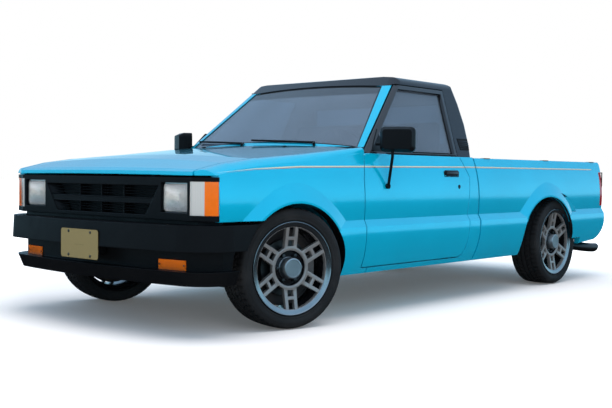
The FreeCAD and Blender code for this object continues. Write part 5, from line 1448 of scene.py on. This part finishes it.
    def mirror_glass(self, side: Side) -> None:
        """Silvered glass let into the rear face of the mirror's head.

        Args:
            side: the side of the truck.
        """
        glass = cad_copy(f"{side.label}_mirror", f"{side.label}_mirror_face")
        turn = self.mirror_turn * side.sign
        back = Vector((-math.sin(turn), math.cos(turn), 0.0))
        edit(glass)
        pick(glass, lambda middle, normal: normal.dot(back) < 0.985 or abs(middle.z - self.mirror_z) > 0.08)
        bpy.ops.mesh.delete(type="FACE")
        bpy.ops.mesh.select_all(action="SELECT")
        bpy.ops.mesh.dissolve_limited(angle_limit=math.radians(3.0))
        bpy.ops.mesh.select_all(action="SELECT")
        bpy.ops.mesh.inset(thickness=0.007)
        bpy.ops.mesh.select_all(action="INVERT")
        bpy.ops.mesh.delete(type="FACE")
        bpy.ops.mesh.select_all(action="SELECT")
        pull(back * 0.0015)
        self.fit(shade(close(glass)), Finish.MIRROR, side.door)

    def corner_x(self, side: Side, distance: float, z: float) -> float:
        """X of the rear cab corner's skin, which is the cab shell's or else the roof's.

        Args:
            side: the side of the truck.
            distance: its station.
            z: its height.

        Returns:
            The skin's X.
        """
        x = side_skin("cab_shell", side, station(distance), z).x
        return x if abs(x) < MISSED_X else side_skin("roof_panel", side, station(distance), z).x

    def louvres(self, side: Side) -> None:
        """Five short blades over the air outlet in the rear cab corner.

        Args:
            side: the side of the truck.
        """
        section = ((-0.003, 0.0), (0.0042, -0.0018), (0.0042, 0.0002), (-0.002, 0.0048))
        blades = []
        for step in range(self.louvre_count):
            z = self.louvre_low + self.louvre_pitch * step
            first, second = (Vector((self.corner_x(side, distance, z), station(distance), z + lift))
                             for distance, lift in ((1.560, 0.0), (1.672, 0.0012)))
            outline = [first + Vector((side.sign * out, 0.0, up)) for out, up in section]
            blades.append(slab(f"{side.label}_louvre_{step}", outline, second - first))
        self.fit(soften(join(blades, f"{side.label}_louvres"), 0.0007, 1), Finish.BLACK_PAINT)

    def louvre_field(self, side: Side) -> None:
        """Dark field behind the louvres, in upright strips that follow the skin.

        Args:
            side: the side of the truck.
        """
        low, high = self.field_heights
        strips = []
        for step in range(6):
            near, far = (self.field_start + self.field_pitch * edge for edge in (step, step + 1))
            outline = [(self.corner_x(side, distance, z) - side.sign * 0.001, station(distance), z)
                       for distance, z in ((near, low), (far, low), (far, high), (near, high))]
            strips.append(slab(f"{side.label}_field_{step}", outline, (side.sign * 0.0028, 0.0, 0.0)))
        self.fit(shade(join(strips, f"{side.label}_louvre_field")), Finish.RUBBER)

    def roof_seal(self, side: Side) -> None:
        """Rubber lip in the joint between the roof and the top of the door.

        Args:
            side: the side of the truck.
        """
        section = ((0.572, 1.3046), (0.5975, 1.3046), (0.5975, 1.2996), (0.592, 1.2985), (0.572, 1.2985))
        outline = [(side.sign * x, station(self.seal_start), z) for x, z in section]
        seal = slab(f"{side.label}_roof_seal", outline, (0.0, self.seal_length, 0.0))
        self.fit(soften(seal, 0.0008, 1), Finish.RUBBER)

    def washer_jet(self, side: Side) -> None:
        """Washer jet near the rear edge of the hood.

        Args:
            side: the side of the truck.
        """
        x, y = side.sign * self.jet_x, station(0.400)
        z = top_skin("hood", x, y).z
        foot = mirrored(((0.012, -0.010), (0.010, 0.014)))
        jet = slab(f"{side.label}_washer_jet", [(x + across, y + along, z - 0.002) for across, along in foot],
                   (0.0, 0.0, 0.009))
        edit(jet)
        pick(jet, lambda middle, normal: normal.z > 0.9)
        bpy.ops.transform.resize(value=(0.6, 0.55, 1.0), center_override=(x, y + 0.004, z))
        self.fit(soften(close(jet), 0.0015), Finish.PLASTIC, "hood")

    def screen_point(self, x: float, z: float, lift: float) -> Vector:
        """A point ahead of the windshield's outer face, by the rule that the pane is curved by.

        Args:
            x: its distance from the truck's middle.
            z: its height.
            lift: how far ahead of the glass it is.

        Returns:
            The point.
        """
        share = (z - BELT_Z) / (SCREEN_TOP_Z - BELT_Z)
        middle, corner = 0.500 + share * 0.518, 0.575 + share * 0.483
        corner_x = 0.700 - share * 0.155
        return Vector((x, station(middle + (x / corner_x) ** 2 * (corner - middle)) - lift, z))

    def wiper_blades(self) -> None:
        """Rubber lip and spine of both wipers, between the CAD arms and the glass."""
        pieces = []
        for pivot, tip in ((0.420, -0.110), (-0.130, -0.640)):
            heel = pivot - 0.040
            for step in range(8):
                places = [(heel + share * (tip - heel), self.wiper_low + share * 0.018)
                          for share in (step / 8.0, (step + 1) / 8.0)]
                foot, next_foot = (self.screen_point(x, z, 0.0030) for x, z in places)
                top = self.screen_point(*places[0], 0.0155)
                outline = [place + Vector((0.0, 0.0, up)) for place, up in
                           ((foot, -0.0008), (top, -0.0040), (top, 0.0050), (foot, 0.0010))]
                pieces.append(slab(f"wiper_{pivot}_{step}", outline, next_foot - foot))
        self.fit(soften(join(pieces, "wiper_blades"), 0.0006, 1), Finish.RUBBER)

    def cowl_slots(self) -> None:
        """Raised air slots across the cowl strip."""
        slots = []
        for step in range(-9, 10):
            x = self.slot_pitch * step
            _, y, z = top_skin("cowl_panel", x, station(0.535))
            if z < OVERHEAD_Z:
                slots.append(box(f"cowl_slot_{step}", (x - 0.026, y - 0.006, z - 0.002),
                                 (x + 0.026, y + 0.006, z + 0.0025)))
        self.fit(soften(join(slots, "cowl_slots"), 0.001, 1), Finish.PLASTIC)


# Bed and tail

@dataclass
class Bed(SubAssembly):
    """Floor ribs, rail pockets, tailgate fittings, tail-lamp frames and the exhaust outlet."""

    floor_z: float = 0.465
    rib_count: int = 9
    rib_pitch: float = 0.115
    rib_half: float = 0.026
    rail_z: float = 0.876
    rear_y: float = REAR_AXLE_Y + 0.727
    pocket_stations: tuple[float, ...] = (1.82, 2.62, 3.36)
    wall_rib_stations: tuple[float, ...] = (1.90, 2.16, 3.20)
    house_radius: float = 0.352
    fairing_radius: float = 0.3525
    fairing_margin: float = 0.014
    patch_low: float = 0.440
    patch_pitch: float = 0.0225

    def build(self) -> None:
        """Model and fit every piece behind the cab."""
        self.floor_ribs()
        self.tailgate_panel()
        self.tailgate_handle()
        for side in Side:
            for make in (self.pockets, self.lamp_frame, self.wall_ribs, self.fairing, self.skin_patch):
                make(side)
        self.outlet()

    def skin_patch(self, side: Side) -> None:
        """Panel behind the rear wheel that carries the body side on from the flare to the wheelhouse.

        Args:
            side: the side of the truck.
        """
        arch, house = [], []
        for step in range(9):
            z = self.patch_low + self.patch_pitch * step
            rise = math.sqrt(1.0 - ((z - ARCH_Z) / (ARCH_HEIGHT + 0.003)) ** 2)
            arch.append((REAR_ARCH_Y + (ARCH_HALF + 0.003) * rise, z))
            house.append((REAR_AXLE_Y + math.sqrt(self.house_radius ** 2 - (z - AXLE_Z) ** 2), z))
        outline = [(side.sign * 0.8115, y, z) for y, z in arch + house[::-1]]
        patch = slab(f"{side.label}_arch_skin", outline, (side.sign * 0.0027, 0.0, 0.0))
        self.fit(shade(patch), Finish.PAINT)

    def fairing(self, side: Side) -> None:
        """Panel between the wheelhouse and the front of the arch, painted inside, undersealed outside.

        Args:
            side: the side of the truck.
        """
        half, height = ARCH_HALF + self.fairing_margin, ARCH_HEIGHT + self.fairing_margin
        foot_z = self.floor_z - 0.003
        low, steep = math.asin((foot_z - ARCH_Z) / height), math.radians(118.0)
        outline = []
        for step in range(13):
            angle = math.pi - low - step * (steep - low) / 12.0
            outline.append((REAR_ARCH_Y + half * math.cos(angle), ARCH_Z + height * math.sin(angle)))
        reach, top = self.fairing_radius, math.radians(68.0)
        foot = math.asin((foot_z - AXLE_Z) / reach)
        for step in range(10):
            angle = math.pi - (top + (foot - top) * step / 9.0)
            outline.append((REAR_AXLE_Y + reach * math.cos(angle), AXLE_Z + reach * math.sin(angle)))
        for name, finish, inner, outer in (("panel", Finish.BED_PAINT, 0.7335, 0.7395),
                                           ("underseal", Finish.CHASSIS, 0.7395, 0.7448)):
            plate = slab(f"{side.label}_arch_{name}", [(side.sign * inner, y, z) for y, z in outline],
                         (side.sign * (outer - inner), 0.0, 0.0))
            self.fit(shade(plate), finish)

    def floor_ribs(self) -> None:
        """Pressed ribs along the bed floor."""
        ribs = []
        for step in range(self.rib_count):
            x = self.rib_pitch * (step - (self.rib_count - 1) / 2.0)
            ribs.append(box(f"rib_{step}", (x - self.rib_half, station(1.740), self.floor_z - 0.001),
                            (x + self.rib_half, self.rear_y - 0.075, self.floor_z + 0.009)))
        self.fit(soften(join(ribs, "bed_ribs"), 0.006, 3), Finish.BED_PAINT)

    def wall_ribs(self, side: Side) -> None:
        """Upright stiffeners on the bed's inner wall.

        Args:
            side: the side of the truck.
        """
        ribs = []
        for distance in self.wall_rib_stations:
            y = station(distance)
            ribs.append(box(f"{side.label}_rib_{distance}", (side.sign * 0.7455, y - 0.035, 0.490),
                            (side.sign * 0.738, y + 0.035, 0.840)))
        self.fit(soften(join(ribs, f"{side.label}_wall_ribs"), 0.003), Finish.BED_PAINT)

    def pockets(self, side: Side) -> None:
        """Dark stake pockets with pressed rims on the bed rail.

        Args:
            side: the side of the truck.
        """
        x, z = side.sign * 0.768, self.rail_z
        rims = []
        for distance in self.pocket_stations:
            y = station(distance)
            rim = box(f"{side.label}_pocket_{distance}", (x - 0.016, y - 0.036, z - 0.002),
                      (x + 0.016, y + 0.036, z + 0.0022))
            rims.append(pressed(rim, (0.0, 0.0, 1.0), 0.004, -0.003))
        self.fit(soften(join(rims, f"{side.label}_stake_pockets"), 0.001, 1), Finish.PLASTIC)

    def tailgate_panel(self) -> None:
        """Pressed field on the tailgate's outer skin."""
        y = tail_skin("tailgate", 0.30, 0.66) - 0.002
        outline = mirrored(((0.560, 0.520), (0.585, 0.545), (0.585, 0.745), (0.560, 0.770)))
        panel = slab("tailgate_panel", [(x, y, z) for x, z in outline], (0.0, 0.0050, 0.0))
        pressed(panel, (0.0, 1.0, 0.0), 0.022, -0.0024, 0.006)
        self.fit(soften(panel, 0.003, 3), Finish.BED_PAINT, "tailgate")

    def tailgate_handle(self) -> None:
        """Lift handle in its black cup near the tailgate's upper edge."""
        y, out = tail_skin("tailgate", 0.0, 0.825), (0.0, 1.0, 0.0)
        cup = box("tailgate_cup", (-0.085, y - 0.004, 0.795), (0.085, y + 0.0026, 0.853))
        self.fit(soften(pressed(cup, out, 0.006, -0.0020), 0.002), Finish.GLOSS_BLACK, "tailgate")
        lever = box("tailgate_lever", (-0.060, y - 0.003, 0.812), (0.060, y + 0.0024, 0.846))
        self.fit(soften(pressed(lever, out, 0.005, 0.0010), 0.002), Finish.PLASTIC, "tailgate")

    def lamp_frame(self, side: Side) -> None:
        """Black frame and two dividing bars round a tail lamp.

        Args:
            side: the side of the truck.
        """
        (_, _, low), (outer, rear, high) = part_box("tail_lamps")
        inner, sign = 0.749, side.sign
        front, back = rear - 0.006, rear + 0.0004
        bars = [box(f"{side.label}_bar_{z:.3f}", (sign * inner, front, z - 0.003),
                    (sign * (outer - 0.002), back, z + 0.003))
                for z in (low + 0.004, low + 0.075, low + 0.140, high - 0.004)]
        bars += [box(f"{side.label}_post_{x:.3f}", (sign * (x - 0.003), front, low),
                     (sign * (x + 0.003), back, high)) for x in (inner + 0.004, outer - 0.005)]
        self.fit(soften(join(bars, f"{side.label}_tail_lamp_frame"), 0.0008, 1), Finish.PLASTIC)

    def outlet(self) -> None:
        """Tailpipe that comes out behind the rear wheel and ends in a slanted mouth."""
        route = [(x, station(distance), z) for x, distance, z in
                 ((0.578, 3.170, 0.256), (0.600, 3.215, 0.252), (0.690, 3.275, 0.240), (0.752, 3.330, 0.230),
                  (0.772, 3.400, 0.224), (0.776, 3.478, 0.221))]
        pipe = tube("exhaust_outlet", route, 0.0335, 6)
        edit(pipe)
        bpy.ops.mesh.bisect(plane_co=(0.776, station(3.452), 0.221), plane_no=(0.0, 0.88, -0.47),
                            use_fill=False, clear_outer=True)
        bpy.ops.object.mode_set(mode="OBJECT")
        modify(pipe, "SOLIDIFY", thickness=0.0035, offset=-1.0)
        edit(pipe)
        self.fit(shade(close(pipe), 40.0), Finish.STEEL)


# Cabin

@dataclass
class Cabin(SubAssembly):
    """Padded bench seat, its plinth, and the dashboard's fittings."""

    half_width: float = 0.588
    front: float = 0.960
    back: float = 1.6025
    base_z: float = 0.530
    seat_z: float = 0.660
    top_z: float = 1.120
    split: float = 0.006
    room: float = 0.012
    fill: float = 0.7
    pressure: float = 4.0
    frames: int = 20
    vent_places: tuple[float, ...] = (-0.600, -0.060, 0.080, 0.610)

    def build(self) -> None:
        """Model and fit the seat and the dashboard's fittings."""
        for side in Side:
            cushion = self.pad(f"seat_cushion_{side.label}", self.cushion(), side, 0.012)
            if side is Side.LEFT:
                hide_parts("bench_seat")
            self.pad(f"seat_back_{side.label}", self.backrest(), side, 0.010)
        self.plinth()
        self.dash()

    def cushion(self) -> Section:
        """Y and Z of the seat cushion's corners.

        Returns:
            The corners in order.
        """
        front, back = station(self.front) + self.room, station(self.back) - 0.135
        low, high = self.base_z + 0.004, self.seat_z - self.room
        return ((front, low), (back, low), (back, high - 0.020), (front + 0.020, high), (front, high - 0.020))

    def backrest(self) -> Section:
        """Y and Z of the backrest's corners.

        Returns:
            The corners in order.
        """
        back, low, high = station(self.back) - 0.010, self.base_z + 0.060, self.top_z - self.room
        return ((back, low), (back, high), (back - 0.062, high), (back - 0.106, self.seat_z + 0.03),
                (back - 0.106, low))

    def pad(self, name: str, section: Section, side: Side, reach: float) -> Piece:
        """One stuffed pad, swollen by a cloth simulation and held to a reach.

        Args:
            name: the pad's name.
            section: Y and Z of its corners.
            side: the side of the truck.
            reach: the furthest that a point may move.

        Returns:
            The pad.
        """
        start, end = side.sign * self.split, side.sign * self.half_width
        pad = slab(name, [(start, y, z) for y, z in section], (end - start, 0.0, 0.0))
        modify(pad, "BEVEL", width=0.022, segments=3, limit_method="ANGLE", angle_limit=math.radians(30.0))
        modify(pad, "REMESH", mode="VOXEL", voxel_size=0.011)
        self.swell(pad, reach)
        modify(pad, "SUBSURF", levels=1, render_levels=1)
        self.fit(shade(pad, 60.0), Finish.CLOTH)
        return pad

    def swell(self, pad: Piece, reach: float) -> None:
        """Inflate a pad with cloth, apply it and cap its movement.

        Args:
            pad: the pad.
            reach: the furthest that a point may move.
        """
        start = [vertex.co.copy() for vertex in pad.data.vertices]
        focus(pad)
        cloth = pad.modifiers.new("stuffing", "CLOTH")
        cloth.settings.use_pressure = True
        cloth.settings.uniform_pressure_force = self.pressure
        cloth.settings.effector_weights.gravity = 0.0
        cloth.settings.quality = 4
        cloth.collision_settings.use_collision = False
        scene = bpy.context.scene
        for step in range(1, self.frames + 1):
            scene.frame_set(step)
        bpy.ops.object.modifier_apply(modifier=cloth.name)
        scene.frame_set(1)
        for vertex, first in zip(pad.data.vertices, start):
            move = vertex.co - first
            if move.length > reach:
                vertex.co = first + move * (reach / move.length)

    def plinth(self) -> None:
        """Seat frame under the cushions."""
        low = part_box("bench_seat")[0][2] + 0.001
        high = self.base_z + 0.006
        blocks = [box(f"seat_base_{x}", (x, station(1.025), low), (x + 0.395, station(1.445), high))
                  for x in (-0.555, 0.160)]
        self.fit(soften(join(blocks, "seat_base"), 0.006), Finish.TRIM)

    def dash(self) -> None:
        """Instrument hood and air outlets on the dashboard."""
        _, (_, back, top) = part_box("dashboard")
        section = ((-0.150, -0.004), (0.006, -0.004), (0.002, 0.052), (-0.070, 0.060))
        hood = slab("instrument_hood", [(0.190, back + along, top + up) for along, up in section],
                    (0.350, 0.0, 0.0))
        self.fit(soften(pressed(hood, (0.0, 1.0, 0.0), 0.010, -0.030), 0.006, 3), Finish.TRIM)
        pieces = []
        for x in self.vent_places:
            pieces.append(box(f"outlet_{x}", (x - 0.052, back - 0.004, top - 0.075),
                              (x + 0.052, back + 0.004, top - 0.025)))
            for step in range(4):
                z = top - 0.066 + 0.0107 * step
                pieces.append(box(f"vane_{x}_{step}", (x - 0.045, back + 0.003, z - 0.0015),
                                  (x + 0.045, back + 0.007, z + 0.0015)))
        self.fit(soften(join(pieces, "air_outlets"), 0.001, 1), Finish.PLASTIC)


# Studio

@dataclass
class Studio(SubAssembly):
    """Pale floor with a painted glow that grows away from the truck, soft light and the camera at the
    photograph's angle.
    """

    eye: Point = (3.8873, FRONT_AXLE_Y - 3.4682, 0.7722)
    yaw: float = math.radians(41.2563)
    pitch: float = math.radians(-1.8813)
    roll: float = math.radians(0.5844)
    focal_pixels: float = 942.76
    sensor: float = 36.0
    sky_strength: float = 0.95
    sky_low: Colour = (0.02, 0.022, 0.025)
    sky_high: Colour = (0.52, 0.70, 0.92)
    sky_bands: tuple[tuple[float, Colour], ...] = ((0.490, (0.03, 0.033, 0.038)), (0.503, (0.52, 0.98, 1.22)),
                                                   (0.60, (0.30, 0.53, 0.78)))
    top_power: float = 380.0
    front_power: float = 145.0
    floor_size: float = 120.0
    # Painted glow of the floor: the distances where its emission starts and stops rising, and its strength
    # near and far
    glow_start: float = 2.0
    glow_end: float = 4.6
    glow_near: float = 0.08
    glow_far: float = 1.15

    def build(self) -> None:
        """Set up all of the studio."""
        self.floor()
        self.sky()
        self.panel("top_panel", (1.0, -1.0, 6.5), (0.0, 0.0, 0.4), 6.0, self.top_power)
        self.panel("front_panel", (8.0, -4.6, 2.8), (0.0, 0.3, 0.4), 4.5, self.front_power)
        self.camera()
        bpy.context.scene.view_settings.view_transform = "Standard"

    def floor(self) -> None:
        """A wide pale floor with a painted glow: it emits light, faint near the truck and strong away from
        it, and so brightens into the white background.
        """
        deselect_all()
        bpy.ops.mesh.primitive_plane_add(size=self.floor_size, location=(0.0, 0.0, 0.0))
        floor = self.wardrobe.dress(named("studio_floor"), Finish.FLOOR)
        tree = floor.data.materials[0].node_tree
        place = add_node(tree, "ShaderNodeTexCoord", {}).outputs["Object"]
        reach = add_node(tree, "ShaderNodeVectorMath", {0: place}, operation="LENGTH").outputs["Value"]
        # Painted light: an emission strength that rises from faint near the truck to strong far from it
        painted_glow = add_node(tree, "ShaderNodeMapRange", {0: reach, 1: self.glow_start, 2: self.glow_end,
                                                     3: self.glow_near, 4: self.glow_far}).outputs[0]
        main = tree.nodes["Principled BSDF"]
        feed(tree, main.inputs["Emission Color"], (1.0, 0.98, 0.95, 1.0))
        feed(tree, main.inputs["Emission Strength"], painted_glow)
        floor.visible_glossy = False

    def sky(self) -> None:
        """A soft sky, bright overhead and dim near the ground, behind a white background."""
        world = bpy.data.worlds.new("studio_sky")
        bpy.context.scene.world = world
        world.use_nodes = True
        tree = world.node_tree
        place = add_node(tree, "ShaderNodeTexCoord", {}).outputs["Generated"]
        height = add_node(tree, "ShaderNodeSeparateXYZ", {0: place}).outputs["Z"]
        span = add_node(tree, "ShaderNodeMapRange", {0: height, 1: -1.0}).outputs[0]
        ramp = add_node(tree, "ShaderNodeValToRGB", {0: span})
        marks = ramp.color_ramp.elements
        marks[0].color, marks[1].color = rgba(self.sky_low), rgba(self.sky_high)
        for position, colour in self.sky_bands:
            marks.new(position).color = rgba(colour)
        sky = tree.nodes["Background"]
        feed(tree, sky.inputs["Color"], ramp.outputs[0])
        feed(tree, sky.inputs["Strength"], self.sky_strength)
        paper = add_node(tree, "ShaderNodeBackground", {"Color": (1.0, 1.0, 1.0, 1.0)})
        seen = add_node(tree, "ShaderNodeLightPath", {}).outputs["Is Camera Ray"]
        choice = add_node(tree, "ShaderNodeMixShader", {0: seen, 1: sky.outputs[0], 2: paper.outputs[0]})
        feed(tree, tree.nodes["World Output"].inputs["Surface"], choice.outputs[0])

    def panel(self, name: str, place: Point, target: Point, size: float, power: float) -> None:
        """One soft square light that doesn't show in reflections.

        Args:
            name: the light's name.
            place: where it hangs.
            target: the point it faces.
            size: its side in metres.
            power: its power in watts.
        """
        data = bpy.data.lights.new(name, "AREA")
        data.size = size
        data.energy = power
        light = bpy.data.objects.new(name, data)
        bpy.context.scene.collection.objects.link(light)
        light.location = place
        light.visible_glossy = False
        light.rotation_euler = (Vector(target) - Vector(place)).to_track_quat("-Z", "Y").to_euler()

    def camera(self) -> None:
        """The camera where the photograph was taken from."""
        level_share = math.cos(self.pitch)
        forward = Vector((-math.sin(self.yaw) * level_share, math.cos(self.yaw) * level_share,
                          math.sin(self.pitch)))
        level = forward.cross(Vector((0.0, 0.0, 1.0))).normalized()
        above = level.cross(forward)
        right = math.cos(self.roll) * level + math.sin(self.roll) * above
        up = math.cos(self.roll) * above - math.sin(self.roll) * level
        data = bpy.data.cameras.new("camera")
        data.sensor_fit = "HORIZONTAL"
        data.sensor_width = self.sensor
        data.lens = self.focal_pixels * self.sensor / IMAGE_WIDTH
        data.dof.use_dof = False
        data.clip_end = 300.0
        camera = bpy.data.objects.new("camera", data)
        bpy.context.scene.collection.objects.link(camera)
        turn = Matrix((right, up, -forward)).transposed().to_4x4()
        camera.matrix_world = Matrix.Translation(self.eye) @ turn
        bpy.context.scene.camera = camera


def main() -> None:
    """Build every sub-assembly in order."""
    logging.basicConfig(level=logging.INFO, format="%(message)s")
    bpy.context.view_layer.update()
    wardrobe = Wardrobe()
    wardrobe.dress_frame()
    LOG.info("dressed %d nodes", len(frame["nodes"]))
    for kind in (Wheels, FrontEnd, Cab, Bed, Cabin, Studio):
        kind(wardrobe).build()
        LOG.info("built %s", kind.__name__)
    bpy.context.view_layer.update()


if __name__ == "__main__":
    main()
